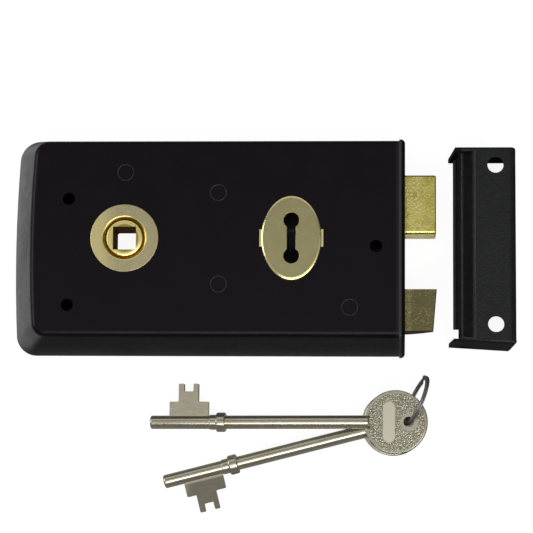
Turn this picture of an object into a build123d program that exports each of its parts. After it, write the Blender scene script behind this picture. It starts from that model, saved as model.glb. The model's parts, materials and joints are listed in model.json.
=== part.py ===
from build123d import *
from math import atan, cos, radians, sin
import os

os.makedirs("parts", exist_ok=True)

# A two-bolt rim lock with its keep and its two keys on a split ring, laid out flat.
# Millimetres. Z is up: the back of the lock lies on the ground plane and its painted
# face looks up. X runs towards the fore-end, where the bolts come out, and on to the
# keep. Y runs across, from the latch side to the deadbolt side. The origin is in the
# middle of the lock's back face, on the plane that is screwed to the door.

# Shared allowances
overrun = 1.0
seat_gap = 0.05
running_gap = 0.05
slide_gap = 0.3

# Case: a pressed pan with one deep sloping end
case_length = 140.0
case_height = 78.0
case_depth = 24.0
sheet = 1.2
end_slope = 8.9
side_slope = 4.5
end_bow = 1.4
back_corner = 7.5
face_corner = 5.0
edge_round = 2.3
back_plate_sheet = 1.2
fore_end_sheet = 2.0
fore_end_lip = 0.5
fore_end_round = 1.6
fore_end_edge = 1.5

# Places on the face, from the fore-end and from the centre line
follower_backset = 98.1
keyhole_backset = 39.6
end_screw_backset = 118.0
end_screw_upper = 14.0
end_screw_lower = -23.5
fore_screw_backset = 10.1
fore_screw_offset = -2.7
upper_post_backset = 98.0
upper_post_offset = 23.4
bolt_post_backset = 65.3
bolt_post_offset = 16.2
lower_post_backset = 65.0
lower_post_offset = -16.1
latch_post_backset = 19.2
latch_post_offset = -24.2

# Holes and posts
screw_hole_d = 4.3
post_d = 5.0
post_base_d = 8.0
post_base_height = 4.5
post_shoulder_d = 7.0
post_shoulder_height = 1.2
rivet_ring_d = 6.0
cap_screw_head_d = 6.4
cap_screw_d = 4.0
cap_screw_length = 4.2
cap_screw_slot = 0.8
cap_screw_slot_depth = 0.4

# Follower and its two brass collars
spindle = 8.1
hub_d = 13.7
hub_length = 15.8
hub_proud = 0.4
hub_chamfer = 0.6
shoulder_d = 15.6
horn_reach = 15.0
horn_tip = 2.5
horn_root = 4.0
horn_thick = 4.0
collar_d = 24.0
collar_thick = 0.7
collar_edge = 0.3
collar_neck_d = 17.0
collar_neck_length = 1.5
collar_dish = 0.9
back_collar_flange = 1.0
back_collar_height = 12.0

# Escutcheon and keyhole
escutcheon_width = 21.1
escutcheon_height = 30.0
escutcheon_rise = 1.0
escutcheon_round = 0.55
escutcheon_tab_sheet = 0.6
escutcheon_tab = 0.6
escutcheon_tab_height = 6.1
keyhole_round_d = 5.4
keyhole_pitch = 12.5
keyhole_slot = 3.0
keyhole_edge = 0.2
keyhole_clear = 0.4

# Both bolts
bolt_thick = 12.2
bolt_middle = 12.1
tail_thick = 4.0
mouth_gap = 0.25

# Latch bolt
latch_width = 14.6
latch_offset = -24.4
latch_projection = 11.1
latch_nose_rake = 1.2
latch_travel = 11.8
latch_head_back = 12.0
latch_nose = 1.8
latch_bevel_bulge = 0.7
latch_edge = 0.5
latch_tail_top = -20.3
latch_tail_bottom = -30.8
latch_lug_width = 3.0
latch_lug_top = -8.4
latch_lug_rise = 3.0
latch_window_rail = 1.5
latch_window_backset = 26.0

# Latch spring
spring_d = 6.4
spring_wire = 0.8
spring_turns = 9
spring_length = 30.0
spring_stop_thick = 2.0
spring_stop_width = 6.4
spring_stop_rise = 3.4
spring_stop_foot = 8.0
spring_stop_foot_thick = 1.2

# Deadbolt
deadbolt_width = 21.1
deadbolt_offset = 12.85
deadbolt_throw = 11.4
deadbolt_sink = 0.55
deadbolt_head_back = 8.0
deadbolt_corner = 1.2
deadbolt_edge = 0.6
deadbolt_tail_top = 21.0
deadbolt_tail_bottom = 4.5
deadbolt_tail_backset = 73.0
talon_depth = 3.5
stump_backset = 28.0
stump_offset = 15.0
stump_size = 3.2
stump_height = 3.2

# Levers
lever_sheet = 1.6
lever_lift = 6.0
lever_eye = 5.5
lever_top = 4.0
lever_bottom = -8.0
lever_belly_depth = 3.2
lever_belly_half = 8.5
lever_end_margin = 3.4
lever_nose_round = 2.0
gate_gap = 0.25
pocket_play = 2.3
lever_spring_sheet = 0.5
lever_spring_width = 1.4
lever_spring_start = 3.0
lever_spring_end = 38.0
spacer_d = 8.0

# Keep: a box with a sunk lip on the side of the bolts
keep_sheet = 1.5
keep_distance = 23.9
keep_face_width = 14.7
keep_height = 69.4
keep_offset = -2.35
keep_depth = 24.0
keep_edge_round = 1.5
lip_slope_width = 3.5
lip_drop = 3.5
lip_flat = 2.75
lip_bead_d = 1.9
lip_top_gap = 4.8
lip_top_chamfer = 1.4
lip_bottom_gap = 5.6
lip_cut = 0.9
keep_wall_reach = 6.3
keep_wall_lean = 2.1
keep_far_lean = 1.2
keep_low_slant = 3.4
keep_wall_round = 1.2
keep_hole_d = 5.6
keep_hole_inset = 7.1
keep_hole_upper = 6.4
keep_hole_pitch = 55.9
keep_travel = 13.0

# Keys
key_shank_d = 4.75
key_length = 87.3
lower_key_less = 3.8
key_tip_round = 0.7
key_seat_round = 1.0
key_bit_start = 66.45
key_bit_width = 14.0
key_bit_base = 4.9
key_bit_thick = 2.0
key_bit_edge = 0.25
key_blade_start = 70.1
key_blade_width = 7.1
key_blade_height = 11.3
key_notch_start = 71.9
key_notch_width = 3.35
key_notch_depth = 2.75
key_collar_start = 60.3
key_collar_width = 3.3
key_collar_d = 6.9
key_collar_edge = 0.6
key_step_width = 2.4
key_step_d = 5.3
key_step_edge = 0.3
key_bit_corner = 0.35
bow_d = 22.3
bow_thick = 2.3
bow_rim = 0.8
bow_field_depth = 0.22
bow_edge = 0.35
bow_shank_seat = 2.0
ring_hole_d = 3.7
ring_hole_offset = 4.65
ring_boss_d = 6.0
cartouche_width = 3.9
cartouche_height = 14.0
cartouche_offset = 2.5
cartouche_lean = 2.0

# Where the keys lie
key_ground_gap = 0.1
ring_hole_x = 71.45
ring_hole_y = -63.1
upper_key_turn = 179.85
lower_key_turn = 194.3
lower_bow_rise = 6.2
upper_bow_rise = 11.15

# Split ring
ring_d = 18.4
ring_wire_width = 1.3
ring_wire_thick = 0.55
ring_pitch = 0.68
ring_turns = 1.93
ring_heading = 67.5
ring_lean = 14.5
ring_start = -10.0
ring_ground_gap = 0.15

# Derived places
fore_x = case_length / 2
end_x = -case_length / 2
pan_x = fore_x - fore_end_sheet
face_z = case_depth
inner_z = case_depth - sheet
follower_x = fore_x - follower_backset
keyhole_x = fore_x - keyhole_backset
end_wall = sheet / cos(atan(end_slope / case_depth))
side_wall = sheet / cos(atan(side_slope / case_depth))
tail_low = bolt_middle - tail_thick / 2
tail_high = bolt_middle + tail_thick / 2
bolt_low = bolt_middle - bolt_thick / 2
bolt_high = bolt_middle + bolt_thick / 2
screw_places = [
    (fore_x - end_screw_backset, end_screw_upper),
    (fore_x - end_screw_backset, end_screw_lower),
    (fore_x - fore_screw_backset, fore_screw_offset),
]
upper_post_at = (fore_x - upper_post_backset, upper_post_offset)
bolt_post_at = (fore_x - bolt_post_backset, bolt_post_offset)
lower_post_at = (fore_x - lower_post_backset, lower_post_offset)
latch_post_at = (fore_x - latch_post_backset, latch_post_offset)
post_places = [upper_post_at, bolt_post_at, lower_post_at, latch_post_at]


def half_height(z, wall):
    """Half the height of the pan at a level, less a wall."""
    return case_height / 2 - side_slope * z / case_depth - wall


def end_at(z, wall):
    """Where the sloping end of the pan is at a level, less a wall."""
    return end_x + end_slope * z / case_depth + wall


def pan_outline(left, right, half, corner):
    """The plan of the pan at one level: square at the fore-end, bowed at the other."""
    with BuildSketch() as plan:
        with BuildLine():
            Polyline((left + end_bow, half), (right, half), (right, -half), (left + end_bow, -half))
            ThreePointArc((left + end_bow, -half), (left, 0), (left + end_bow, half))
        make_face()
        fillet(plan.vertices().group_by(Axis.X)[0], corner)
    return plan.sketch


def keyhole_outline(clear):
    """Two rounds joined by a slot, so that the key goes in either way up."""
    with BuildSketch() as hole:
        with Locations((keyhole_x, keyhole_pitch / 2), (keyhole_x, -keyhole_pitch / 2)):
            Circle(keyhole_round_d / 2 + clear)
        with Locations((keyhole_x, 0)):
            Rectangle(keyhole_slot + 2 * clear, keyhole_pitch)
    return hole.sketch


def corner_at(z):
    """The corner radius of the pan at a level."""
    return back_corner + (face_corner - back_corner) * z / case_depth


# Case
with BuildPart() as case:
    for level in (0, face_z):
        with BuildSketch(Plane.XY.offset(level)):
            add(pan_outline(end_at(level, 0), pan_x, half_height(level, 0), corner_at(level)))
    loft(ruled=True)
    face_edges = case.faces().sort_by(Axis.Z)[-1].edges()
    fillet(face_edges.sort_by(Axis.X)[:-1], edge_round)
    for level in (-overrun, inner_z):
        with BuildSketch(Plane.XY.offset(level)):
            add(pan_outline(
                end_at(level, end_wall), pan_x + overrun,
                half_height(level, side_wall), corner_at(level) - sheet,
            ))
    loft(ruled=True, mode=Mode.SUBTRACT)
    with Locations(*[(x, y, face_z) for x, y in post_places]):
        CounterSinkHole(post_d / 2 + seat_gap, rivet_ring_d / 2, depth=sheet + overrun)
    with Locations(*[(x, y, face_z) for x, y in screw_places]):
        Hole(screw_hole_d / 2, depth=sheet + overrun)
    with Locations((follower_x, 0, face_z)):
        Hole(collar_neck_d / 2 + seat_gap, depth=sheet + overrun)
    with BuildSketch(Plane.XY.offset(face_z + overrun)):
        add(keyhole_outline(keyhole_clear))
    extrude(amount=-(sheet + 2 * overrun), mode=Mode.SUBTRACT)
case.part.label = "case"
export_step(case.part, "parts/case.step")

# Back plate, let into the open side of the pan
with BuildPart() as back_plate:
    with BuildSketch():
        add(pan_outline(
            end_at(back_plate_sheet, end_wall) + slide_gap / 2, pan_x - seat_gap,
            half_height(back_plate_sheet, side_wall) - slide_gap / 2, back_corner - sheet,
        ))
    extrude(amount=back_plate_sheet)
    with Locations(*[(x, y, back_plate_sheet) for x, y in screw_places]):
        Hole(screw_hole_d / 2, depth=back_plate_sheet)
    with Locations((follower_x, 0, back_plate_sheet)):
        Hole(collar_neck_d / 2 + seat_gap, depth=back_plate_sheet)
    with Locations(*[Location((x, y, 0), (180, 0, 0)) for x, y in post_places]):
        CounterSinkHole(
            cap_screw_d / 2 + seat_gap, cap_screw_head_d / 2 + seat_gap, depth=back_plate_sheet,
        )
    with BuildSketch(Plane.XY.offset(-overrun)):
        add(keyhole_outline(keyhole_clear))
    extrude(amount=back_plate_sheet + 2 * overrun, mode=Mode.SUBTRACT)
back_plate.part.label = "back_plate"
export_step(back_plate.part, "parts/back_plate.step")

# Fore-end, with a mouth for each bolt
with BuildPart() as fore_end:
    with BuildSketch(Plane.YZ.offset(pan_x)) as plate:
        with BuildLine():
            low_half = half_height(0, 0) + fore_end_lip
            high_half = half_height(face_z, 0) + fore_end_lip
            Polyline((-low_half, 0), (low_half, 0), (high_half, face_z), (-high_half, face_z), close=True)
        make_face()
        fillet(plate.vertices().group_by(Axis.Y)[-1], fore_end_round)
        with Locations((deadbolt_offset, bolt_middle)):
            Rectangle(deadbolt_width + 2 * mouth_gap, bolt_thick + 2 * mouth_gap, mode=Mode.SUBTRACT)
        with Locations((latch_offset, bolt_middle)):
            Rectangle(latch_width + 2 * mouth_gap, bolt_thick + 2 * mouth_gap, mode=Mode.SUBTRACT)
    extrude(amount=fore_end_sheet)
    fillet(fore_end.edges().filter_by(Axis.Y).group_by(Axis.Z)[-1].sort_by(Axis.X)[-1], fore_end_edge)
fore_end.part.label = "fore_end"
export_step(fore_end.part, "parts/fore_end.step")


def post(place, base_height):
    """A shouldered post, riveted through the face and tapped for a screw at the back."""
    base = Plane((place[0], place[1], back_plate_sheet))
    with BuildPart() as turned:
        with BuildSketch(base):
            Circle(post_base_d / 2)
        extrude(amount=base_height)
        with BuildSketch(base):
            Circle(post_d / 2)
        extrude(amount=face_z - back_plate_sheet)
        with BuildSketch(base.offset(inner_z - post_shoulder_height - back_plate_sheet)):
            Circle(post_shoulder_d / 2)
        extrude(amount=post_shoulder_height)
        with BuildSketch(base):
            Circle(cap_screw_d / 2 + seat_gap)
        extrude(amount=cap_screw_length, mode=Mode.SUBTRACT)
    return turned.part


# Posts between the back plate and the face
bolt_post_base = tail_low - slide_gap - lever_sheet - running_gap - back_plate_sheet
with BuildPart() as upper_post:
    add(post(upper_post_at, post_base_height))
upper_post.part.label = "upper_post"
export_step(upper_post.part, "parts/upper_post.step")

with BuildPart() as bolt_post:
    add(post(bolt_post_at, bolt_post_base))
bolt_post.part.label = "bolt_post"
export_step(bolt_post.part, "parts/bolt_post.step")

with BuildPart() as lower_post:
    add(post(lower_post_at, post_base_height))
lower_post.part.label = "lower_post"
export_step(lower_post.part, "parts/lower_post.step")

with BuildPart() as latch_post:
    add(post(latch_post_at, bolt_low - slide_gap - back_plate_sheet))
latch_post.part.label = "latch_post"
export_step(latch_post.part, "parts/latch_post.step")

# Cap screws, from the back into the posts
with BuildPart() as cap_screws:
    for x, y in post_places:
        with BuildSketch(Plane.XY.offset(0)):
            with Locations((x, y)):
                Circle(cap_screw_head_d / 2)
        with BuildSketch(Plane.XY.offset((cap_screw_head_d - cap_screw_d) / 2)):
            with Locations((x, y)):
                Circle(cap_screw_d / 2)
        loft()
        with BuildSketch(Plane.XY.offset((cap_screw_head_d - cap_screw_d) / 2)):
            with Locations((x, y)):
                Circle(cap_screw_d / 2)
        extrude(amount=cap_screw_length - seat_gap)
        with BuildSketch():
            with Locations((x, y)):
                Rectangle(cap_screw_head_d + overrun, cap_screw_slot)
        extrude(amount=cap_screw_slot_depth, mode=Mode.SUBTRACT)
cap_screws.part.label = "cap_screws"
export_step(cap_screws.part, "parts/cap_screws.step")

# Spacer that holds the front lever down on the tail of the deadbolt
front_lever_low = tail_high + slide_gap
back_lever_low = tail_low - slide_gap - lever_sheet
with BuildPart() as lever_spacer:
    with BuildSketch(Plane((*bolt_post_at, front_lever_low + lever_sheet + running_gap))):
        Circle(spacer_d / 2)
        Circle(post_d / 2 + running_gap, mode=Mode.SUBTRACT)
    extrude(until=None, amount=inner_z - post_shoulder_height - front_lever_low - lever_sheet
            - 2 * running_gap)
lever_spacer.part.label = "lever_spacer"
export_step(lever_spacer.part, "parts/lever_spacer.step")

# Front collar of the follower: a raised ring with a dished mouth
with BuildPart() as front_collar:
    with BuildSketch(Plane((follower_x, 0, face_z))):
        Circle(collar_d / 2)
    extrude(amount=collar_thick)
    fillet(front_collar.faces().sort_by(Axis.Z)[-1].edges(), collar_edge)
    with BuildSketch(Plane((follower_x, 0, face_z))):
        Circle(collar_neck_d / 2)
    extrude(amount=-(sheet + collar_neck_length))
    with BuildSketch(Plane((follower_x, 0, face_z + collar_thick))):
        Circle(hub_d / 2 + running_gap)
    extrude(amount=-(sheet + collar_neck_length + collar_thick), mode=Mode.SUBTRACT)
    mouth = front_collar.faces().sort_by(Axis.Z)[-1].edges().sort_by(SortBy.LENGTH)[0]
    fillet(mouth, collar_dish)
front_collar.part.label = "front_collar"
export_step(front_collar.part, "parts/front_collar.step")

# Back collar: flush with the back plate, with a long bearing for the follower
with BuildPart() as back_collar:
    with BuildSketch(Plane((follower_x, 0, 0))):
        Circle(collar_neck_d / 2)
    extrude(amount=back_collar_height)
    with BuildSketch(Plane((follower_x, 0, back_plate_sheet))):
        Circle(collar_d / 2)
    extrude(amount=back_collar_flange)
    with BuildSketch(Plane((follower_x, 0, 0))):
        Circle(hub_d / 2 + running_gap)
    extrude(amount=back_collar_height, mode=Mode.SUBTRACT)
    mouth = back_collar.faces().sort_by(Axis.Z)[0].edges().sort_by(SortBy.LENGTH)[0]
    fillet(mouth, collar_dish)
back_collar.part.label = "back_collar"
export_step(back_collar.part, "parts/back_collar.step")

# Follower: a hub with a square hole and one horn that draws the latch back
hub_top = face_z + hub_proud
horn_low = back_collar_height + slide_gap
shoulder_high = face_z - sheet - collar_neck_length - slide_gap
with BuildPart() as follower:
    with BuildSketch(Plane((follower_x, 0, hub_top - hub_length))):
        Circle(hub_d / 2)
    extrude(amount=hub_length)
    chamfer(follower.faces().sort_by(Axis.Z)[-1].edges(), hub_chamfer)
    with BuildSketch(Plane((follower_x, 0, horn_low))):
        Circle(shoulder_d / 2)
    extrude(amount=shoulder_high - horn_low)
    with BuildSketch(Plane((follower_x, 0, horn_low))):
        with Locations((horn_root - horn_tip, 0)):
            Circle(horn_root)
        with Locations((0, -horn_reach)):
            Circle(horn_tip)
        make_hull()
    extrude(amount=horn_thick)
    with BuildSketch(Plane((follower_x, 0, hub_top + overrun))):
        Rectangle(spindle, spindle)
    extrude(amount=-(hub_length + 2 * overrun), mode=Mode.SUBTRACT)
follower.part.label = "follower"
export_step(follower.part, "parts/follower.step")

# Escutcheon: a shallow pressed oval with a rolled edge and two side tabs
with BuildPart() as escutcheon:
    with BuildSketch(Plane((keyhole_x, 0, face_z))):
        Ellipse(escutcheon_width / 2, escutcheon_height / 2)
    extrude(amount=escutcheon_rise)
    fillet(escutcheon.faces().sort_by(Axis.Z)[-1].edges(), escutcheon_round)
    with BuildSketch(Plane((keyhole_x, 0, face_z))):
        Rectangle(escutcheon_width + 2 * escutcheon_tab, escutcheon_tab_height)
    extrude(amount=escutcheon_tab_sheet)
    with BuildSketch(Plane.XY.offset(face_z - overrun)):
        add(keyhole_outline(0))
    extrude(amount=escutcheon_rise + 2 * overrun, mode=Mode.SUBTRACT)
    keyhole_edges = escutcheon.faces().sort_by(Axis.Z)[-1].inner_wires()[0].edges()
    fillet(keyhole_edges, keyhole_edge)
escutcheon.part.label = "escutcheon"
export_step(escutcheon.part, "parts/escutcheon.step")

# Latch bolt: a bevelled head on a flat tail with a window for its spring
nose_x = fore_x + latch_projection
latch_low_y = latch_offset - latch_width / 2
lug_x = follower_x - horn_tip - slide_gap
window_x = fore_x - latch_window_backset
spring_low_x = window_x - spring_length
window_low = latch_tail_bottom + latch_window_rail
window_high = latch_tail_top - latch_window_rail
latch_slot_gap = post_d / 2 + slide_gap
with BuildPart() as latch_bolt:
    with BuildSketch(Plane.XZ.offset(-latch_low_y)) as latch_side:
        with BuildLine():
            heel = (fore_x + overrun, bolt_low)
            lip = (nose_x, bolt_high - latch_nose)
            bulge = (
                (heel[0] + lip[0]) / 2 + latch_bevel_bulge, (heel[1] + lip[1]) / 2 - latch_bevel_bulge,
            )
            Polyline(lip, (nose_x, bolt_high), (fore_x - latch_head_back, bolt_high),
                     (fore_x - latch_head_back, bolt_low), heel)
            ThreePointArc(heel, bulge, lip)
        make_face()
    extrude(amount=-latch_width)
    with BuildSketch(Plane.XY.offset(bolt_low - overrun)):
        with BuildLine():
            Polyline(
                (nose_x, latch_low_y + latch_width), (nose_x - latch_nose_rake, latch_low_y),
                (nose_x + overrun, latch_low_y), (nose_x + overrun, latch_low_y + latch_width), close=True,
            )
        make_face()
    extrude(amount=bolt_thick + 2 * overrun, mode=Mode.SUBTRACT)
    fillet(latch_bolt.faces().sort_by(Axis.X)[-1].edges().sort_by(Axis.Z)[-1], latch_edge)
    with BuildSketch(Plane.XY.offset(tail_low)):
        with BuildLine():
            Polyline(
                (fore_x - latch_head_back, latch_tail_top), (fore_x - latch_head_back, latch_tail_bottom),
                (lug_x - latch_lug_width, latch_tail_bottom), (lug_x - latch_lug_width, latch_tail_top),
                close=True,
            )
        make_face()
    extrude(amount=tail_thick)
    with BuildSketch(Plane.XY.offset(tail_low)):
        with BuildLine():
            Polyline(
                (lug_x, latch_tail_bottom), (lug_x, latch_lug_top),
                (lug_x - latch_lug_width, latch_lug_top), (lug_x - latch_lug_width, latch_tail_bottom),
                close=True,
            )
        make_face()
    extrude(amount=tail_thick + latch_lug_rise)
    with BuildSketch(Plane.XY.offset(tail_low - overrun)):
        with BuildLine():
            left = spring_low_x - spring_stop_thick - slide_gap
            Polyline((left, window_low), (window_x, window_low), (window_x, window_high),
                     (left, window_high), close=True)
        make_face()
    extrude(amount=tail_thick + 2 * overrun, mode=Mode.SUBTRACT)
    with BuildSketch(Plane.XY.offset(bolt_low - overrun)):
        with Locations((latch_post_at[0] + latch_travel / 2, latch_post_at[1])):
            SlotOverall(latch_travel + 2 * latch_slot_gap, 2 * latch_slot_gap)
    extrude(amount=bolt_thick + 2 * overrun, mode=Mode.SUBTRACT)
latch_bolt.part.label = "latch_bolt"
export_step(latch_bolt.part, "parts/latch_bolt.step")

# Stop for the latch spring, riveted to the back plate
spring_y = (window_low + window_high) / 2
with BuildPart() as spring_stop:
    with BuildSketch(Plane.XY.offset(back_plate_sheet)):
        with Locations((spring_low_x - spring_stop_foot / 2, spring_y)):
            Rectangle(spring_stop_foot, spring_stop_width)
    extrude(amount=spring_stop_foot_thick)
    with BuildSketch(Plane.XY.offset(back_plate_sheet)):
        with Locations((spring_low_x - spring_stop_thick / 2, spring_y)):
            Rectangle(spring_stop_thick, spring_stop_width)
    extrude(amount=tail_high + spring_stop_rise - back_plate_sheet)
spring_stop.part.label = "spring_stop"
export_step(spring_stop.part, "parts/spring_stop.step")

# Latch spring
coil_radius = (spring_d - spring_wire) / 2
coil_length = spring_length - spring_wire - 2 * running_gap
coil_plane = Plane(
    (spring_low_x + spring_wire / 2 + running_gap, spring_y, bolt_middle), x_dir=(0, 1, 0), z_dir=(1, 0, 0),
)
coil_line = coil_plane * Helix(coil_length / spring_turns, coil_length, coil_radius)
with BuildPart() as latch_spring:
    with BuildSketch(Plane(coil_line @ 0, z_dir=coil_line % 0)):
        RegularPolygon(spring_wire / 2, 6)
    sweep(path=coil_line, is_frenet=True)
latch_spring.part.label = "latch_spring"
export_step(latch_spring.part, "parts/latch_spring.step")

# Deadbolt: a square head on a slotted tail, with a notch for the key and a stump
dead_nose_x = fore_x + deadbolt_throw - deadbolt_sink
dead_head_x = fore_x - deadbolt_head_back
dead_tail_x = fore_x - deadbolt_tail_backset
stump_x = fore_x - stump_backset
sweep_radius = key_shank_d / 2 + key_blade_height
key_pivot_y = -keyhole_pitch / 2
talon_reach = (sweep_radius ** 2 - (deadbolt_tail_bottom - key_pivot_y) ** 2) ** (1 / 2)
talon_width = 2 * talon_reach - deadbolt_throw
with BuildPart() as deadbolt:
    with BuildSketch(Plane.YZ.offset(dead_head_x)) as head:
        with Locations((deadbolt_offset, bolt_middle)):
            RectangleRounded(deadbolt_width, bolt_thick, deadbolt_corner)
    extrude(amount=dead_nose_x - dead_head_x)
    fillet(deadbolt.faces().sort_by(Axis.X)[-1].edges(), deadbolt_edge)
    with BuildSketch(Plane.XY.offset(tail_low)):
        with BuildLine():
            Polyline((dead_tail_x, deadbolt_tail_bottom), (dead_head_x, deadbolt_tail_bottom),
                     (dead_head_x, deadbolt_tail_top), (dead_tail_x, deadbolt_tail_top), close=True)
        make_face()
    extrude(amount=tail_thick)
    with BuildSketch(Plane.XY.offset(tail_low - overrun)):
        with Locations((bolt_post_at[0] + deadbolt_throw / 2, bolt_post_at[1])):
            SlotOverall(deadbolt_throw + post_d + 2 * slide_gap, post_d + 2 * slide_gap)
        with Locations((keyhole_x + deadbolt_throw / 2, deadbolt_tail_bottom)):
            Rectangle(talon_width, 2 * talon_depth)
    extrude(amount=tail_thick + 2 * overrun, mode=Mode.SUBTRACT)
    with BuildSketch(Plane((stump_x, stump_offset, tail_low - stump_height))):
        Rectangle(stump_size, stump_size)
    extrude(amount=tail_thick + 2 * stump_height)
deadbolt.part.label = "deadbolt"
export_step(deadbolt.part, "parts/deadbolt.step")

# Levers: pivoted on the bolt post, each with a gate that the stump runs through
stump_reach = stump_x - bolt_post_at[0]
stump_drop = stump_offset - bolt_post_at[1]


def stump_in_lever(travel):
    """The stump's centre seen from the lever, once the bolt has moved and the lever has lifted."""
    lift = radians(lever_lift) * travel / deadbolt_throw
    across = stump_reach - travel
    return (
        across * cos(lift) + stump_drop * sin(lift),
        -across * sin(lift) + stump_drop * cos(lift),
    )


def lever_profile():
    """The lever's plan about its pivot: eye, arm, belly over the key, gate and pockets."""
    half = stump_size / 2
    room = half + 2 * gate_gap
    rest = stump_in_lever(0)
    thrown = stump_in_lever(deadbolt_throw)
    fore_gate = rest[0] - half - pocket_play
    rear_gate = thrown[0] + half + pocket_play
    fore_travel = stump_reach - fore_gate - half
    rear_travel = stump_reach - rear_gate + half
    fore_high = stump_in_lever(fore_travel)[1] + half + gate_gap
    rear_high = stump_in_lever(stump_reach - rear_gate - half)[1] + half + gate_gap
    fore_low = stump_in_lever(stump_reach - fore_gate + half)[1] - room
    rear_low = stump_in_lever(rear_travel)[1] - room
    nose = rest[0] + half + lever_end_margin
    belly = keyhole_x - bolt_post_at[0]
    with BuildSketch() as plan:
        Circle(lever_eye)
        with BuildLine():
            Polyline(
                (belly - lever_belly_half, lever_bottom), (0, -lever_eye), (0, lever_top),
                (nose, lever_top), (nose, lever_bottom), (belly + lever_belly_half, lever_bottom),
            )
            ThreePointArc(
                (belly + lever_belly_half, lever_bottom), (belly, lever_bottom - lever_belly_depth),
                (belly - lever_belly_half, lever_bottom),
            )
        make_face()
        fillet(plan.vertices().group_by(Axis.X)[-1], lever_nose_round)
        with BuildLine():
            Polyline(
                (rest[0] + room, rest[1] + room), (fore_gate, rest[1] + room), (fore_gate, fore_high),
                (rear_gate, rear_high), (thrown[0] - room, rear_high),
                (thrown[0] - room, thrown[1] - room), (rear_gate, thrown[1] - room),
                (rear_gate, rear_low), (fore_gate, fore_low), (rest[0] + room, fore_low), close=True,
            )
        make_face(mode=Mode.SUBTRACT)
        Circle(post_d / 2 + running_gap, mode=Mode.SUBTRACT)
    return plan.sketch


with BuildPart() as front_lever:
    with BuildSketch(Plane((*bolt_post_at, front_lever_low))):
        add(lever_profile())
    extrude(amount=lever_sheet)
front_lever.part.label = "front_lever"
export_step(front_lever.part, "parts/front_lever.step")

with BuildPart() as back_lever:
    with BuildSketch(Plane((*bolt_post_at, back_lever_low))):
        add(lever_profile())
    extrude(amount=lever_sheet)
back_lever.part.label = "back_lever"
export_step(back_lever.part, "parts/back_lever.step")


def lever_spring(low):
    """A thin strip that rises from a lever and bears on the wall above it."""
    middle = low + lever_sheet / 2
    wall = half_height(middle + lever_spring_width / 2, side_wall) - lever_spring_sheet / 2 - slide_gap
    x0 = bolt_post_at[0] + lever_spring_start
    x1 = bolt_post_at[0] + lever_spring_end
    y0 = bolt_post_at[1] + lever_top + 2 * lever_spring_sheet
    with BuildPart() as strip:
        with BuildSketch(Plane.XY.offset(middle - lever_spring_width / 2)):
            with BuildLine() as bent:
                ThreePointArc((x0, y0), ((x0 + x1) / 2, y0 + (wall - y0) / 3), (x1, wall))
            trace(bent.line, lever_spring_sheet)
        extrude(amount=lever_spring_width)
    return strip.part


with BuildPart() as front_lever_spring:
    add(lever_spring(front_lever_low))
front_lever_spring.part.label = "front_lever_spring"
export_step(front_lever_spring.part, "parts/front_lever_spring.step")

with BuildPart() as back_lever_spring:
    add(lever_spring(back_lever_low))
back_lever_spring.part.label = "back_lever_spring"
export_step(back_lever_spring.part, "parts/back_lever_spring.step")

# Keep: bent from sheet, open at the back and on the side of the bolts
keep_fold_x = fore_x + keep_distance
keep_far_x = keep_fold_x + keep_face_width
keep_low_y = keep_offset - keep_height / 2
keep_high_y = keep_offset + keep_height / 2
lip_z = keep_depth - lip_drop
lip_flat_x = keep_fold_x - lip_slope_width
bead_x = lip_flat_x - lip_flat
wall_top_x = keep_fold_x - keep_wall_reach
half_sheet = keep_sheet / 2
low_slant = radians(keep_low_slant)
low_rise = sin(low_slant) / cos(low_slant)
slant_run = keep_far_x - bead_x + lip_bead_d
sheet_low_y = keep_low_y + half_sheet


def keep_wall(edge_y, slant, inward):
    """An end wall of the keep, with its outer edge rolled over at the top."""
    wall_plane = Plane(
        (keep_far_x, edge_y, 0), x_dir=(cos(slant), -sin(slant), 0), z_dir=(-sin(slant), -cos(slant), 0),
    )
    with BuildPart() as end_wall:
        with BuildSketch(wall_plane) as wall:
            with BuildLine():
                Polyline(
                    (-keep_far_lean, 0), (0, keep_depth), (wall_top_x - keep_far_x, keep_depth),
                    (wall_top_x - keep_wall_lean - keep_far_x, 0), close=True,
                )
            make_face()
            fillet(wall.vertices().group_by(Axis.Y)[-1].sort_by(Axis.X)[-1], keep_edge_round)
        extrude(amount=-inward * keep_sheet)
        outer = end_wall.faces().sort_by(Axis.Y)[0 if inward == 1 else -1]
        top = outer.edges().sort_by(Axis.Z)[-1]
        fillet(top, keep_wall_round)
    return end_wall.part


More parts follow.
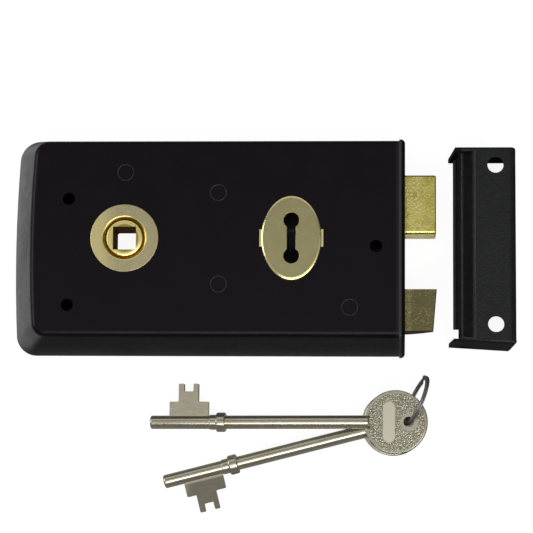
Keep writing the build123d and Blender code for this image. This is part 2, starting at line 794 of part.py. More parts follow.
with BuildPart() as keep:
    with BuildSketch(Plane.XZ.offset(-(keep_low_y + keep_sheet))):
        with BuildLine() as bend:
            FilletPolyline(
                (keep_far_x - keep_far_lean - half_sheet, 0), (keep_far_x - half_sheet, keep_depth - half_sheet),
                (keep_fold_x, keep_depth - half_sheet), (lip_flat_x, lip_z - half_sheet),
                (bead_x, lip_z - half_sheet), radius=keep_sheet,
            )
        trace(bend.line, keep_sheet)
    extrude(amount=-(keep_height - 2 * keep_sheet))
    with BuildSketch(Plane.XZ.offset(-(keep_low_y + keep_sheet))):
        with Locations((bead_x, lip_z - half_sheet)):
            Circle(lip_bead_d / 2)
    extrude(amount=-(keep_height - 2 * keep_sheet))
    with BuildSketch(Plane.XY.offset(-overrun)):
        with BuildLine():
            Polyline(
                (keep_far_x, sheet_low_y), (keep_far_x - slant_run, sheet_low_y + slant_run * low_rise),
                (keep_far_x - slant_run, keep_low_y - overrun), (keep_far_x, keep_low_y - overrun), close=True,
            )
        make_face()
    extrude(amount=keep_depth + 2 * overrun, mode=Mode.SUBTRACT)
    add(keep_wall(keep_low_y, low_slant, 1))
    add(keep_wall(keep_high_y, 0, -1))
    top_y = keep_high_y - keep_sheet
    low_y = keep_low_y + keep_sheet
    cut_x = bead_x + lip_cut
    lip_end_x = bead_x - lip_bead_d - overrun
    with BuildSketch(Plane.XY.offset(keep_depth + overrun)):
        with BuildLine():
            Polyline(
                (cut_x, low_y), (cut_x, keep_low_y + lip_bottom_gap), (lip_end_x, keep_low_y + lip_bottom_gap),
                (lip_end_x, low_y), close=True,
            )
        make_face()
        with BuildLine():
            Polyline(
                (cut_x, top_y), (cut_x, keep_high_y - lip_top_gap + lip_top_chamfer),
                (cut_x - 2 * lip_top_chamfer, keep_high_y - lip_top_gap - lip_top_chamfer / 2),
                (lip_end_x, keep_high_y - lip_top_gap - lip_top_chamfer / 2), (lip_end_x, top_y), close=True,
            )
        make_face()
    extrude(amount=-(lip_drop + keep_sheet + 3 * overrun), mode=Mode.SUBTRACT)
    with BuildSketch():
        with Locations((keep_far_x, keep_offset)):
            Rectangle(2 * keep_face_width, keep_height + 2 * overrun)
    extrude(amount=-overrun, mode=Mode.SUBTRACT)
    hole_y = keep_high_y - keep_hole_upper
    with Locations((keep_far_x - keep_hole_inset, hole_y, keep_depth),
                   (keep_far_x - keep_hole_inset, hole_y - keep_hole_pitch, keep_depth)):
        Hole(keep_hole_d / 2, depth=keep_sheet + overrun)
keep.part.label = "keep"
export_step(keep.part, "parts/keep.step")

# Split ring: a flat wire wound nearly twice, standing on its edge through both bows
ring_radius = ring_d / 2 - ring_wire_width / 2
ring_axial = ring_pitch * ring_turns
lean = radians(ring_lean)
heading = radians(ring_heading)
ring_across = Vector(cos(heading), sin(heading), 0)
ring_side = Vector(sin(heading), -cos(heading), 0)
ring_up = ring_side * sin(lean) + Vector(0, 0, cos(lean))
ring_axis = ring_across.cross(ring_up)
ring_centre_z = ring_ground_gap + ring_d / 2 * cos(lean) + (ring_axial + ring_wire_thick) / 2 * sin(lean)


def on_ring(rise):
    """Where the wire stands at a height, from the middle of the ring, on the side of the keys."""
    up = (rise - ring_centre_z) / cos(lean)
    return ring_up * up - ring_across * (ring_radius ** 2 - up ** 2) ** (1 / 2)


ring_centre = Vector(ring_hole_x, ring_hole_y, upper_bow_rise) - on_ring(upper_bow_rise)
start = radians(ring_start)
start_dir = ring_across * cos(start) + ring_up * sin(start)
ring_plane = Plane(ring_centre - ring_axis * (ring_axial / 2), x_dir=start_dir, z_dir=ring_axis)
ring_line = ring_plane * Helix(ring_pitch, ring_axial, ring_radius)
with BuildPart() as split_ring:
    with BuildSketch(Plane(ring_line @ 0, x_dir=start_dir, z_dir=ring_line % 0)):
        Rectangle(ring_wire_width, ring_wire_thick)
    sweep(path=ring_line, is_frenet=True)
split_ring.part.label = "split_ring"
export_step(split_ring.part, "parts/split_ring.step")

# Keys: a round shank with a stepped bit, brazed into a round bow
bow_radius = bow_d / 2
shank_end = bow_radius - bow_shank_seat
key_collar_end = key_collar_start + key_collar_width


def key_frame(turn, rise, side):
    """The middle of a bow, with X along the shank and Y on the side of the bit."""
    on_tip = (rise - key_shank_d / 2 - key_ground_gap) / key_length
    on_collar = (rise - key_collar_d / 2 - key_ground_gap) / key_collar_end
    dip = min(on_tip, on_collar)
    level = cos(dip)
    along = Vector(cos(radians(turn)) * level, sin(radians(turn)) * level, -sin(dip))
    bit_side = Vector(-sin(radians(turn)), cos(radians(turn)), 0) * side
    hole = ring_centre + on_ring(rise)
    return Plane(
        origin=hole + along * ring_hole_offset + Vector(0, 0, ring_hole_offset * sin(dip)),
        x_dir=along, z_dir=along.cross(bit_side),
    )


def across(frame, distance):
    """The plane square to the shank, some way from the middle of the bow."""
    return Plane(
        origin=frame.from_local_coords(Vector(distance, 0, 0)), x_dir=frame.y_dir, z_dir=frame.x_dir,
    )


def key_shank(frame, less):
    """Shank, collar, step ring and bit in one piece, drawn back along the shank by a length."""
    notch_top = key_shank_d / 2 + key_blade_height
    collar_start = key_collar_start - less
    collar_end = key_collar_end - less
    with BuildPart() as piece:
        with BuildSketch(across(frame, shank_end)):
            Circle(key_shank_d / 2)
        extrude(amount=key_length - less - shank_end)
        ends = piece.faces().sort_by(Axis(frame.origin, frame.x_dir))
        fillet(ends[-1].edges(), key_tip_round)
        ends = piece.faces().sort_by(Axis(frame.origin, frame.x_dir))
        fillet(ends[0].edges(), key_seat_round)
        with BuildSketch(frame) as barrel:
            with BuildLine():
                half = key_collar_d / 2
                step = key_step_d / 2
                Polyline(
                    (collar_start, 0), (collar_start, half), (collar_end, half), (collar_end, step),
                    (collar_end + key_step_width, step), (collar_end + key_step_width, 0), close=True,
                )
            make_face()
            far = barrel.vertices().group_by(Axis.Y)[-1]
            fillet(far, key_collar_edge)
            step_end = barrel.vertices().group_by(Axis.X)[-1].sort_by(Axis.Y)[-1]
            fillet(step_end, key_step_edge)
        revolve(axis=Axis(frame.origin, frame.x_dir))
        with BuildSketch(frame.offset(-key_bit_thick / 2)) as bit:
            with BuildLine():
                base = key_shank_d / 2 + key_bit_base
                floor = notch_top - key_notch_depth
                bit_start = key_bit_start - less
                blade_start = key_blade_start - less
                notch_start = key_notch_start - less
                blade_end = blade_start + key_blade_width
                notch_end = notch_start + key_notch_width
                bit_end = bit_start + key_bit_width
                Polyline(
                    (bit_start, 0), (bit_start, base), (blade_start, base), (blade_start, notch_top),
                    (notch_start, notch_top), (notch_start, floor), (notch_end, floor),
                    (notch_end, notch_top), (blade_end, notch_top), (blade_end, base), (bit_end, base),
                    (bit_end, 0), close=True,
                )
            make_face()
            fillet(bit.vertices().group_by(Axis.Y)[1:], key_bit_corner)
        extrude(amount=key_bit_thick)
    return piece.part


def key_bow(frame):
    """A round bow with a sunk field on each face, a bossed ring hole and a blank cartouche."""
    with BuildPart() as piece:
        with BuildSketch(frame.offset(-bow_thick / 2)):
            Circle(bow_radius)
        extrude(amount=bow_thick)
        fillet(piece.edges().filter_by(GeomType.CIRCLE), bow_edge)
        for face, inward in ((bow_thick / 2, -1), (-bow_thick / 2, 1)):
            with BuildSketch(frame.offset(face)):
                Circle(bow_radius - bow_rim)
                with Locations((-ring_hole_offset, 0)):
                    Circle(ring_boss_d / 2, mode=Mode.SUBTRACT)
                with Locations(Location((cartouche_offset, 0, 0), (0, 0, cartouche_lean))):
                    SlotOverall(cartouche_height, cartouche_width, rotation=90, mode=Mode.SUBTRACT)
            extrude(amount=inward * bow_field_depth, mode=Mode.SUBTRACT)
        with BuildSketch(frame.offset(-bow_thick)):
            with Locations((-ring_hole_offset, 0)):
                Circle(ring_hole_d / 2)
        extrude(amount=2 * bow_thick, mode=Mode.SUBTRACT)
        with BuildSketch(across(frame, shank_end - seat_gap)):
            Circle(key_shank_d / 2 + seat_gap)
        extrude(amount=2 * bow_shank_seat, mode=Mode.SUBTRACT)
    return piece.part


lower_key = key_frame(lower_key_turn, lower_bow_rise, 1)
upper_key = key_frame(upper_key_turn, upper_bow_rise, -1)

with BuildPart() as upper_key_shank:
    add(key_shank(upper_key, 0))
upper_key_shank.part.label = "upper_key_shank"
export_step(upper_key_shank.part, "parts/upper_key_shank.step")

with BuildPart() as upper_key_bow:
    add(key_bow(upper_key))
upper_key_bow.part.label = "upper_key_bow"
export_step(upper_key_bow.part, "parts/upper_key_bow.step")

with BuildPart() as lower_key_shank:
    add(key_shank(lower_key, lower_key_less))
lower_key_shank.part.label = "lower_key_shank"
export_step(lower_key_shank.part, "parts/lower_key_shank.step")

with BuildPart() as lower_key_bow:
    add(key_bow(lower_key))
lower_key_bow.part.label = "lower_key_bow"
export_step(lower_key_bow.part, "parts/lower_key_bow.step")
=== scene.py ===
"""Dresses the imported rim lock, its keep and its two keys, and sets them on a white table under soft lamps.

The lock lies on its back and the camera looks down on its painted face. Units are metres.
"""

import json
import math

import bmesh
import bpy
from bpy.props import FloatProperty, FloatVectorProperty, IntProperty, PointerProperty
from mathutils import Matrix, Vector


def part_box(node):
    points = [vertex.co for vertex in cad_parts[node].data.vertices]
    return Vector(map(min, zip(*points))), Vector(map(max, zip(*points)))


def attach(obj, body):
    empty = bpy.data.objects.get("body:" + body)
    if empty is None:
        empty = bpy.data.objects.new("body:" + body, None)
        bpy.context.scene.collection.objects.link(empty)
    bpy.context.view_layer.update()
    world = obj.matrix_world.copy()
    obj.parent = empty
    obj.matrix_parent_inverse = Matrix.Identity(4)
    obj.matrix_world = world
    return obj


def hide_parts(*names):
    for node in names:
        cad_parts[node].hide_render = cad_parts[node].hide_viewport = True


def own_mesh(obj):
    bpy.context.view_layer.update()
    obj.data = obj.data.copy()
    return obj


bl_info = {
    "name": "Rim lock finishes",
    "version": (1, 0, 0),
    "blender": (4, 5, 0),
    "location": "3D View > Sidebar > Rim lock",
    "description": "Makes the enamel, brass and nickel finishes and the fine pieces of a rim lock",
    "category": "Object",
}

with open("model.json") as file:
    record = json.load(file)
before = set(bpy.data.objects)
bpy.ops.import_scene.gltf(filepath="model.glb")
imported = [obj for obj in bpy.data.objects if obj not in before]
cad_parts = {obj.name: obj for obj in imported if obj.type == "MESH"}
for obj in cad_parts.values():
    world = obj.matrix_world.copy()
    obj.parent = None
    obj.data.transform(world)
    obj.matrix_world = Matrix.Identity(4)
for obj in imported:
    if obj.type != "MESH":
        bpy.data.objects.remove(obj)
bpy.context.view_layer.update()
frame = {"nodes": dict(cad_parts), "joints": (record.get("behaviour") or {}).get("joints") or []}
nodes = frame["nodes"]
MM = 0.001


def middle_of(node):
    """The middle of a node's box."""
    low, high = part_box(node)
    return (low + high) / 2


# Sizes and colours a user may change


class StageSettings(bpy.types.PropertyGroup):
    """The table, the lamps and the camera."""

    table_size: FloatProperty(
        name="Table size", description="Side of the square white table",
        default=4.0, unit="LENGTH",
    )
    table_white: FloatProperty(
        name="Table white", description="How much light the table sends back",
        default=0.85, min=0.0, max=1.0, subtype="FACTOR",
    )
    table_shade: FloatProperty(
        name="Table shade", description="How white the table looks where no lamp reaches it",
        default=0.93, min=0.0, max=1.0, subtype="FACTOR",
    )
    table_lit: FloatProperty(
        name="Table lit", description="What the lamps add to the white of the table",
        default=0.16, min=0.0, max=1.0, subtype="FACTOR",
    )
    # The tones in gloss below are painted reflections: the table shows them only in the enamel and the metal
    table_in_gloss: FloatProperty(
        name="Table in gloss", description="How pale the table looks in the enamel and the metal",
        default=0.1, min=0.0, max=1.0, subtype="FACTOR",
    )
    keys_in_gloss: FloatProperty(
        name="Keys in gloss", description="How pale the table looks in the sides of the keys",
        default=0.22, min=0.0, max=1.0, subtype="FACTOR",
    )
    bolts_in_gloss: FloatProperty(
        name="Bolts in gloss", description="How much paler the table looks in the sides of the bolts",
        default=0.4, min=0.0, max=1.0, subtype="FACTOR",
    )
    # Painted reflection, paler by the sloping end, with no card there
    painted_reflection_near: FloatProperty(
        name="Card near", description="How pale the table looks in gloss right at the sloping end",
        default=1.0, min=0.0, max=1.0, subtype="FACTOR",
    )
    painted_reflection_far: FloatProperty(
        name="Card far", description="How pale the table looks in gloss past the sloping end",
        default=0.5, min=0.0, max=1.0, subtype="FACTOR",
    )
    painted_reflection_run: FloatProperty(
        name="Card run", description="How far out from the sloping end the paleness falls off",
        default=12.0 * MM, unit="LENGTH",
    )
    # A painted patch of light: the table stays white below the hub, though the lock shades it
    hub_light: FloatProperty(
        name="Hub light", description="Radius of the white patch of table seen through the follower",
        default=9.0 * MM, unit="LENGTH",
    )
    ring_dark: FloatProperty(
        name="Ring hole dark",
        description="Radius of the dark patch of table under the ring hole of the bows",
        default=2.6 * MM, unit="LENGTH",
    )
    room_level: FloatProperty(
        name="Room level", description="Brightness of the dark room all round",
        default=0.12, min=0.0,
    )
    top_lamp: FloatProperty(
        name="Top lamp", description="Power of the broad soft lamp overhead",
        default=2.35, min=0.0, unit="POWER",
    )
    back_lamp: FloatProperty(
        name="Back lamp", description="Power of the broad soft lamp across from the keys",
        default=3.0, min=0.0, unit="POWER",
    )
    strip_lamp: FloatProperty(
        name="Strip lamp", description="Power of the long lamp on the side of the keys",
        default=5.6, min=0.0, unit="POWER",
    )
    side_lamp: FloatProperty(
        name="Side lamp", description="Power of the lamp past the sloping end",
        default=2.6, min=0.0, unit="POWER",
    )
    camera_place: FloatVectorProperty(
        name="Camera place", description="Where the camera stands",
        default=(0.06698, -0.12815, 0.86031), subtype="TRANSLATION", unit="LENGTH",
    )
    camera_turn: FloatVectorProperty(
        name="Camera turn", description="How the camera is turned",
        default=(0.14061, 0.05281, 0.00832), subtype="EULER", unit="ROTATION",
    )
    camera_lens: FloatProperty(
        name="Camera lens", description="Focal length",
        default=163.92, min=1.0, unit="CAMERA",
    )


class EnamelSettings(bpy.types.PropertyGroup):
    """The black finishes of the case, the fore-end and the keep."""

    case_black: FloatVectorProperty(
        name="Case black", description="Colour of the stoved enamel",
        default=(0.0026, 0.0010, 0.0028), subtype="COLOR", min=0.0, max=1.0,
    )
    keep_black: FloatVectorProperty(
        name="Keep black", description="Colour of the textured coat",
        default=(0.0075, 0.0078, 0.0085), subtype="COLOR", min=0.0, max=1.0,
    )
    case_gloss: FloatProperty(
        name="Case roughness", description="Roughness of the enamel",
        default=0.36, min=0.0, max=1.0, subtype="FACTOR",
    )
    keep_gloss: FloatProperty(
        name="Keep roughness", description="Roughness of the textured coat",
        default=0.42, min=0.0, max=1.0, subtype="FACTOR",
    )
    peel_size: FloatProperty(
        name="Orange peel size", description="Size of a bump of the textured coat",
        default=0.62 * MM, unit="LENGTH",
    )


class BrassSettings(bpy.types.PropertyGroup):
    """The colours of the brass pieces."""

    collar: FloatVectorProperty(
        name="Collar brass", description="Matte brass of the follower and its collar",
        default=(0.58, 0.51, 0.29), subtype="COLOR", min=0.0, max=1.0,
    )
    escutcheon: FloatVectorProperty(
        name="Escutcheon brass", description="Pressed brass round the keyhole",
        default=(0.44, 0.40, 0.205), subtype="COLOR", min=0.0, max=1.0,
    )
    # Colour of the escutcheon's edge: rubbed wear and a painted highlight
    rim: FloatVectorProperty(
        name="Rim brass", description="Brass rubbed bright at the edge of the escutcheon",
        default=(0.92, 0.83, 0.40), subtype="COLOR", min=0.0, max=1.0,
    )
    bolt: FloatVectorProperty(
        name="Deadbolt brass", description="Cast brass of the deadbolt",
        default=(1.0, 0.87, 0.22), subtype="COLOR", min=0.0, max=1.0,
    )
    latch: FloatVectorProperty(
        name="Latch brass", description="Duller brass of the latch bolt",
        default=(0.21, 0.185, 0.085), subtype="COLOR", min=0.0, max=1.0,
    )
    fleck: FloatVectorProperty(
        name="Fleck", description="Bright flecks on the cast brass",
        default=(0.98, 0.88, 0.36), subtype="COLOR", min=0.0, max=1.0,
    )


class SteelSettings(bpy.types.PropertyGroup):
    """The colours of the keys, the ring and the works."""

    nickel: FloatVectorProperty(
        name="Nickel", description="Worn nickel plate of the keys",
        default=(0.60, 0.575, 0.48), subtype="COLOR", min=0.0, max=1.0,
    )
    ring: FloatVectorProperty(
        name="Ring steel", description="Dark wire of the split ring",
        default=(0.22, 0.215, 0.21), subtype="COLOR", min=0.0, max=1.0,
    )
    cartouche: FloatVectorProperty(
        name="Cartouche nickel", description="Clean nickel of the smooth panel on each bow",
        default=(0.68, 0.635, 0.52), subtype="COLOR", min=0.0, max=1.0,
    )
    works: FloatVectorProperty(
        name="Works steel", description="Oiled steel inside the case",
        default=(0.10, 0.097, 0.09), subtype="COLOR", min=0.0, max=1.0,
    )


class RivetSettings(bpy.types.PropertyGroup):
    """The riveted ends of the posts, under the enamel."""

    bead_diameter: FloatProperty(
        name="Bead diameter", description="Middle of the swaged bead round a rivet",
        default=5.6 * MM, unit="LENGTH",
    )
    bead_thickness: FloatProperty(
        name="Bead thickness", description="Thickness of the bead",
        default=0.5 * MM, unit="LENGTH",
    )
    bead_rise: FloatProperty(
        name="Bead rise", description="How far the bead stands out of the face",
        default=0.015 * MM, unit="LENGTH",
    )


class ScrewSettings(bpy.types.PropertyGroup):
    """The slotted screws that hold the back plate to the posts."""

    head_diameter: FloatProperty(
        name="Head diameter", description="Across the countersunk head",
        default=6.4 * MM, unit="LENGTH",
    )
    shank_diameter: FloatProperty(
        name="Shank diameter", description="Across the shank",
        default=4.0 * MM, unit="LENGTH",
    )
    length: FloatProperty(
        name="Length", description="Length from the head's face to the end",
        default=4.2 * MM, unit="LENGTH",
    )
    slot_width: FloatProperty(
        name="Slot width", description="Width of the driver's slot",
        default=0.8 * MM, unit="LENGTH",
    )
    slot_depth: FloatProperty(
        name="Slot depth", description="Depth of the driver's slot",
        default=0.4 * MM, unit="LENGTH",
    )


class LatchSpringSettings(bpy.types.PropertyGroup):
    """The coil spring behind the latch bolt."""

    wire_diameter: FloatProperty(
        name="Wire diameter", description="Thickness of the round wire",
        default=0.8 * MM, unit="LENGTH",
    )
    turns: FloatProperty(
        name="Turns", description="How many times the wire goes round",
        default=9.0, min=1.0,
    )
    steps: IntProperty(
        name="Steps", description="Sections of the wire in each turn",
        default=48, min=16,
    )


class SplitRingSettings(bpy.types.PropertyGroup):
    """The split ring that holds the keys."""

    wire_width: FloatProperty(
        name="Wire width", description="Width of the flat wire, across the ring",
        default=1.3 * MM, unit="LENGTH",
    )
    wire_thickness: FloatProperty(
        name="Wire thickness", description="Thickness of the wire, along the ring's axis",
        default=0.55 * MM, unit="LENGTH",
    )
    edge_round: FloatProperty(
        name="Edge round", description="Rounding of the wire's long edges",
        default=0.12 * MM, unit="LENGTH",
    )
    diameter: FloatProperty(
        name="Diameter", description="Across the outside of the ring",
        default=18.4 * MM, unit="LENGTH",
    )
    pitch: FloatProperty(
        name="Pitch", description="How far one turn lies from the next",
        default=0.68 * MM, unit="LENGTH",
    )
    turns: FloatProperty(
        name="Turns", description="How many times the wire goes round",
        default=1.93, min=1.0,
    )
    steps: IntProperty(
        name="Steps", description="Sections of the wire in each turn",
        default=120, min=16,
    )
    heading: FloatProperty(
        name="Heading", description="Direction that the ring stands in, from above",
        default=math.radians(67.5), unit="ROTATION",
    )
    lean: FloatProperty(
        name="Lean", description="How far the ring leans from upright",
        default=math.radians(14.5), unit="ROTATION",
    )
    start: FloatProperty(
        name="Start", description="Where the wire begins, up from the heading",
        default=math.radians(-10.0), unit="ROTATION",
    )
    ground_gap: FloatProperty(
        name="Ground gap", description="How far the ring stays off the table",
        default=0.15 * MM, unit="LENGTH",
    )
    hole_place: FloatVectorProperty(
        name="Hole place", description="Where the wire passes the upper bow",
        default=(71.45 * MM, -63.1 * MM, 11.15 * MM), subtype="TRANSLATION", unit="LENGTH",
    )


# Node helpers


def join(tree, source, target):
    """Links a socket to another, or sets it to a plain value."""
    if isinstance(source, bpy.types.NodeSocket):
        tree.links.new(source, target)
    else:
        target.default_value = source


def add_node(tree, kind, label, **values):
    """A node with a plain label, its settings, and its inputs linked or set."""
    node = tree.nodes.new(kind)
    node.label = label
    for key, value in values.items():
        if hasattr(node, key):
            setattr(node, key, value)
        else:
            join(tree, value, node.inputs[key.replace("_", " ")])
    return node


def maths(tree, operation, a, b=None):
    """A Math node on numbers or sockets."""
    node = tree.nodes.new("ShaderNodeMath")
    node.operation = operation
    for socket, value in zip(node.inputs, (a, b)):
        if value is not None:
            join(tree, value, socket)
    return node.outputs[0]


def times(tree, first, *others):
    """Numbers or sockets multiplied together."""
    for other in others:
        first = maths(tree, "MULTIPLY", first, other)
    return first


def plus(tree, first, second):
    return maths(tree, "ADD", first, second)


def minus(tree, first, second):
    return maths(tree, "SUBTRACT", first, second)


def inverse(tree, mask):
    """A mask turned about: 1 where it was 0."""
    return minus(tree, 1.0, mask)


def straight_distance(tree, along, across):
    """How far a point lies from the origin in a plane."""
    squares = plus(tree, maths(tree, "POWER", along, 2.0), maths(tree, "POWER", across, 2.0))
    return maths(tree, "SQRT", squares)


def ranged(tree, value, low, high, to_low=0.0, to_high=1.0, smooth=False):
    """A Map Range node, clamped."""
    node = tree.nodes.new("ShaderNodeMapRange")
    if smooth:
        node.interpolation_type = "SMOOTHSTEP"
    join(tree, value, node.inputs["Value"])
    for name, number in (("From Min", low), ("From Max", high), ("To Min", to_low), ("To Max", to_high)):
        join(tree, number, node.inputs[name])
    return node.outputs["Result"]


def mixed(tree, share, a, b, blend="MIX"):
    """A colour Mix node on colours or sockets."""
    node = tree.nodes.new("ShaderNodeMix")
    node.data_type = "RGBA"
    node.blend_type = blend
    join(tree, share, node.inputs[0])
    for socket, value in zip([s for s in node.inputs if s.type == "RGBA"], (a, b)):
        join(tree, (*value, 1.0) if isinstance(value, tuple) else value, socket)
    return next(s for s in node.outputs if s.type == "RGBA")


def axes_of(tree, vector):
    """The X, Y and Z of a vector socket."""
    return tuple(add_node(tree, "ShaderNodeSeparateXYZ", "apart", Vector=vector).outputs)


def vector_of(tree, x=0.0, y=0.0, z=0.0):
    """A vector put together from numbers or sockets."""
    return add_node(tree, "ShaderNodeCombineXYZ", "together", X=x, Y=y, Z=z).outputs[0]


def noise(tree, label, vector, scale, **values):
    """The value of a Noise Texture at a vector."""
    return add_node(tree, "ShaderNodeTexNoise", label, Vector=vector, Scale=scale, **values).outputs["Fac"]


def toned(colour, *shares):
    """A colour whose red, green and blue are multiplied by one share, or by one each."""
    return tuple(min(1.0, value * share) for value, share in zip(colour, shares * (3 // len(shares))))


# Patterns that the finishes share


def new_group(name, inputs, outputs):
    """An empty shader group that reads a vector and numbers, with the sockets of its two end nodes."""
    tree = bpy.data.node_groups.new(name, "ShaderNodeTree")
    tree.interface.new_socket(name="Vector", in_out="INPUT", socket_type="NodeSocketVector")
    for label, default in inputs.items():
        socket = tree.interface.new_socket(name=label, in_out="INPUT", socket_type="NodeSocketFloat")
        socket.default_value = default
    for label in outputs:
        tree.interface.new_socket(name=label, in_out="OUTPUT", socket_type="NodeSocketFloat")
    given = tree.nodes.new("NodeGroupInput").outputs
    return tree, given, tree.nodes.new("NodeGroupOutput").inputs


def soft_mottle_group():
    """Patches that run slowly from one tone to another, with finer ones in them."""
    tree, given, out = new_group("soft_mottle", {"Patch size": 4.0 * MM, "Fine share": 0.4}, ["Mask"])
    vector, share = given["Vector"], given["Fine share"]
    scale = maths(tree, "DIVIDE", 1.0, given["Patch size"])
    broad = noise(tree, "broad patches", vector, scale, Detail=3.0, Roughness=0.6)
    fine = noise(tree, "fine patches", vector, times(tree, scale, 7.0), Detail=2.0, Roughness=0.7)
    both = plus(tree, times(tree, broad, inverse(tree, share)), times(tree, fine, share))
    join(tree, ranged(tree, both, 0.36, 0.64, smooth=True), out["Mask"])
    return tree


def flecks_group():
    """Small bright spots, gathered in some places and scarce in others."""
    defaults = {"Fleck size": 0.6 * MM, "Amount": 0.3, "Gather": 5.0 * MM}
    tree, given, out = new_group("flecks", defaults, ["Mask"])
    vector = given["Vector"]
    spot_scale = maths(tree, "DIVIDE", 1.0, given["Fleck size"])
    gather_scale = maths(tree, "DIVIDE", 1.0, given["Gather"])
    spots = noise(tree, "spots", vector, spot_scale, Detail=2.0, Roughness=0.55)
    gather = noise(tree, "where they gather", vector, gather_scale, Detail=1.0)
    level = minus(tree, 0.78, times(tree, given["Amount"], gather))
    join(tree, ranged(tree, spots, level, plus(tree, level, 0.07), smooth=True), out["Mask"])
    return tree


def orange_peel_group():
    """The rounded bumps of a sprayed coat."""
    tree, given, out = new_group("orange_peel", {"Bump size": 0.6 * MM}, ["Height"])
    vector = given["Vector"]
    scale = maths(tree, "DIVIDE", 1.0, given["Bump size"])
    cells = add_node(
        tree, "ShaderNodeTexVoronoi", "cells", feature="SMOOTH_F1", Vector=vector, Scale=scale, Smoothness=0.8
    )
    waves = noise(tree, "waves", vector, times(tree, scale, 0.6), Detail=2.0)
    join(tree, plus(tree, times(tree, cells.outputs["Distance"], -0.7), waves), out["Height"])
    return tree


def turning_marks_group():
    """Fine rings left by a lathe, about the axis through the vector's origin."""
    tree, given, out = new_group("turning_marks", {"Ring pitch": 0.2 * MM}, ["Height", "Mask", "Radius"])
    x, y, _ = axes_of(tree, given["Vector"])
    radius = straight_distance(tree, x, y)
    place = vector_of(tree, maths(tree, "DIVIDE", radius, given["Ring pitch"]))
    rings = noise(tree, "rings", place, 1.0, Detail=2.0, Roughness=0.6)
    join(tree, rings, out["Height"])
    join(tree, ranged(tree, rings, 0.35, 0.65), out["Mask"])
    join(tree, radius, out["Radius"])
    return tree


def brushed_grain_group():
    """Short scratches that run along X."""
    defaults = {"Scratch width": 0.15 * MM, "Stretch": 30.0}
    tree, given, out = new_group("brushed_grain", defaults, ["Height", "Mask"])
    x, y, z = axes_of(tree, given["Vector"])
    drawn_out = vector_of(tree, maths(tree, "DIVIDE", x, given["Stretch"]), y, z)
    scale = maths(tree, "DIVIDE", 1.0, given["Scratch width"])
    lines = noise(tree, "scratches", drawn_out, scale, Detail=3.0, Roughness=0.65)
    join(tree, lines, out["Height"])
    join(tree, ranged(tree, lines, 0.4, 0.65), out["Mask"])
    return tree


def bow_field_group():
    """Where a bow's face is pebbled: inside its rim, outside the ring hole's boss and the cartouche.

    The vector and all sizes are in millimetres from the middle of the bow, with X along the shank.
    """
    defaults = {
        "Field radius": 10.3, "Boss offset": 4.65, "Boss radius": 3.05,
        "Cartouche offset": 2.5, "Cartouche half": 5.05, "Cartouche radius": 2.0,
    }
    tree, given, out = new_group("bow_field", defaults, ["Mask", "Panel", "Boss"])
    x, y, _ = axes_of(tree, given["Vector"])
    inside = ranged(tree, minus(tree, given["Field radius"], straight_distance(tree, x, y)), 0.0, 0.25)
    boss = straight_distance(tree, plus(tree, x, given["Boss offset"]), y)
    clear_boss = ranged(tree, minus(tree, boss, given["Boss radius"]), 0.0, 0.2)
    run = maths(tree, "MAXIMUM", minus(tree, maths(tree, "ABSOLUTE", y), given["Cartouche half"]), 0.0)
    plate = straight_distance(tree, minus(tree, x, given["Cartouche offset"]), run)
    clear_plate = ranged(tree, minus(tree, plate, given["Cartouche radius"]), 0.0, 0.2)
    join(tree, times(tree, inside, clear_boss, clear_plate), out["Mask"])
    join(tree, inverse(tree, clear_plate), out["Panel"])
    join(tree, inverse(tree, clear_boss), out["Boss"])
    return tree


def oval_field_group():
    """How far out a point lies on an oval: 1 at the edge, 0 in the middle."""
    defaults = {"Half width": 10.55 * MM, "Half height": 15.0 * MM}
    tree, given, out = new_group("oval_field", defaults, ["Reach"])
    x, y, _ = axes_of(tree, given["Vector"])
    across = maths(tree, "DIVIDE", x, given["Half width"])
    along = maths(tree, "DIVIDE", y, given["Half height"])
    join(tree, straight_distance(tree, across, along), out["Reach"])
    return tree


shared_groups = {
    "soft_mottle": soft_mottle_group(),
    "flecks": flecks_group(),
    "orange_peel": orange_peel_group(),
    "turning_marks": turning_marks_group(),
    "brushed_grain": brushed_grain_group(),
    "bow_field": bow_field_group(),
    "oval_field": oval_field_group(),
}


def place_group(tree, name, vector, **values):
    """One of the shared groups in a material, with its own values."""
    node = tree.nodes.new("ShaderNodeGroup")
    node.node_tree = shared_groups[name]
    join(tree, vector, node.inputs["Vector"])
    for key, value in values.items():
        join(tree, value, node.inputs[key.replace("_", " ")])
    return node.outputs


# Finishes


def new_material(name, colour, roughness, metallic=0.0, specular=0.5):
    """A material with a Principled BSDF and the Object coordinates that its patterns read."""
    material = bpy.data.materials.new(name)
    material.use_nodes = True
    tree = material.node_tree
    shader = tree.nodes["Principled BSDF"]
    shader.inputs["Base Color"].default_value = (*colour, 1.0)
    shader.inputs["Roughness"].default_value = roughness
    shader.inputs["Metallic"].default_value = metallic
    shader.inputs["Specular IOR Level"].default_value = specular
    material.diffuse_color = (*colour, 1.0)
    coordinates = tree.nodes.new("ShaderNodeTexCoord").outputs["Object"]
    return material, tree, shader.inputs, coordinates


def mapped(tree, coordinates, **values):
    """A Mapping node that centres or turns a pattern on a piece."""
    return add_node(tree, "ShaderNodeMapping", "placed pattern", Vector=coordinates, **values).outputs[0]


def key_coordinates(tree, coordinates, bow_centre, turn, mirrored):
    """Millimetres from the middle of a key's bow, with X along its shank and Y toward its bit."""
    return mapped(
        tree, coordinates, vector_type="TEXTURE", Location=tuple(bow_centre),
        Rotation=(0.0, 0.0, math.radians(turn)), Scale=(MM, MM * mirrored, MM),
    )


def bumped(tree, inputs, height, strength=1.0, distance=1.0, before=None):
    """A Bump node that feeds the shader's Normal."""
    node = add_node(tree, "ShaderNodeBump", "relief", Strength=strength, Distance=distance, Height=height)
    if before is not None:
        join(tree, before, node.inputs["Normal"])
    join(tree, node.outputs[0], inputs["Normal"])
    return node.outputs[0]


def rolled(tree, over, rounding):
    """How far an edge has dropped where it is rounded over, from the way run past its start."""
    return times(tree, over, over, -0.5 / rounding)


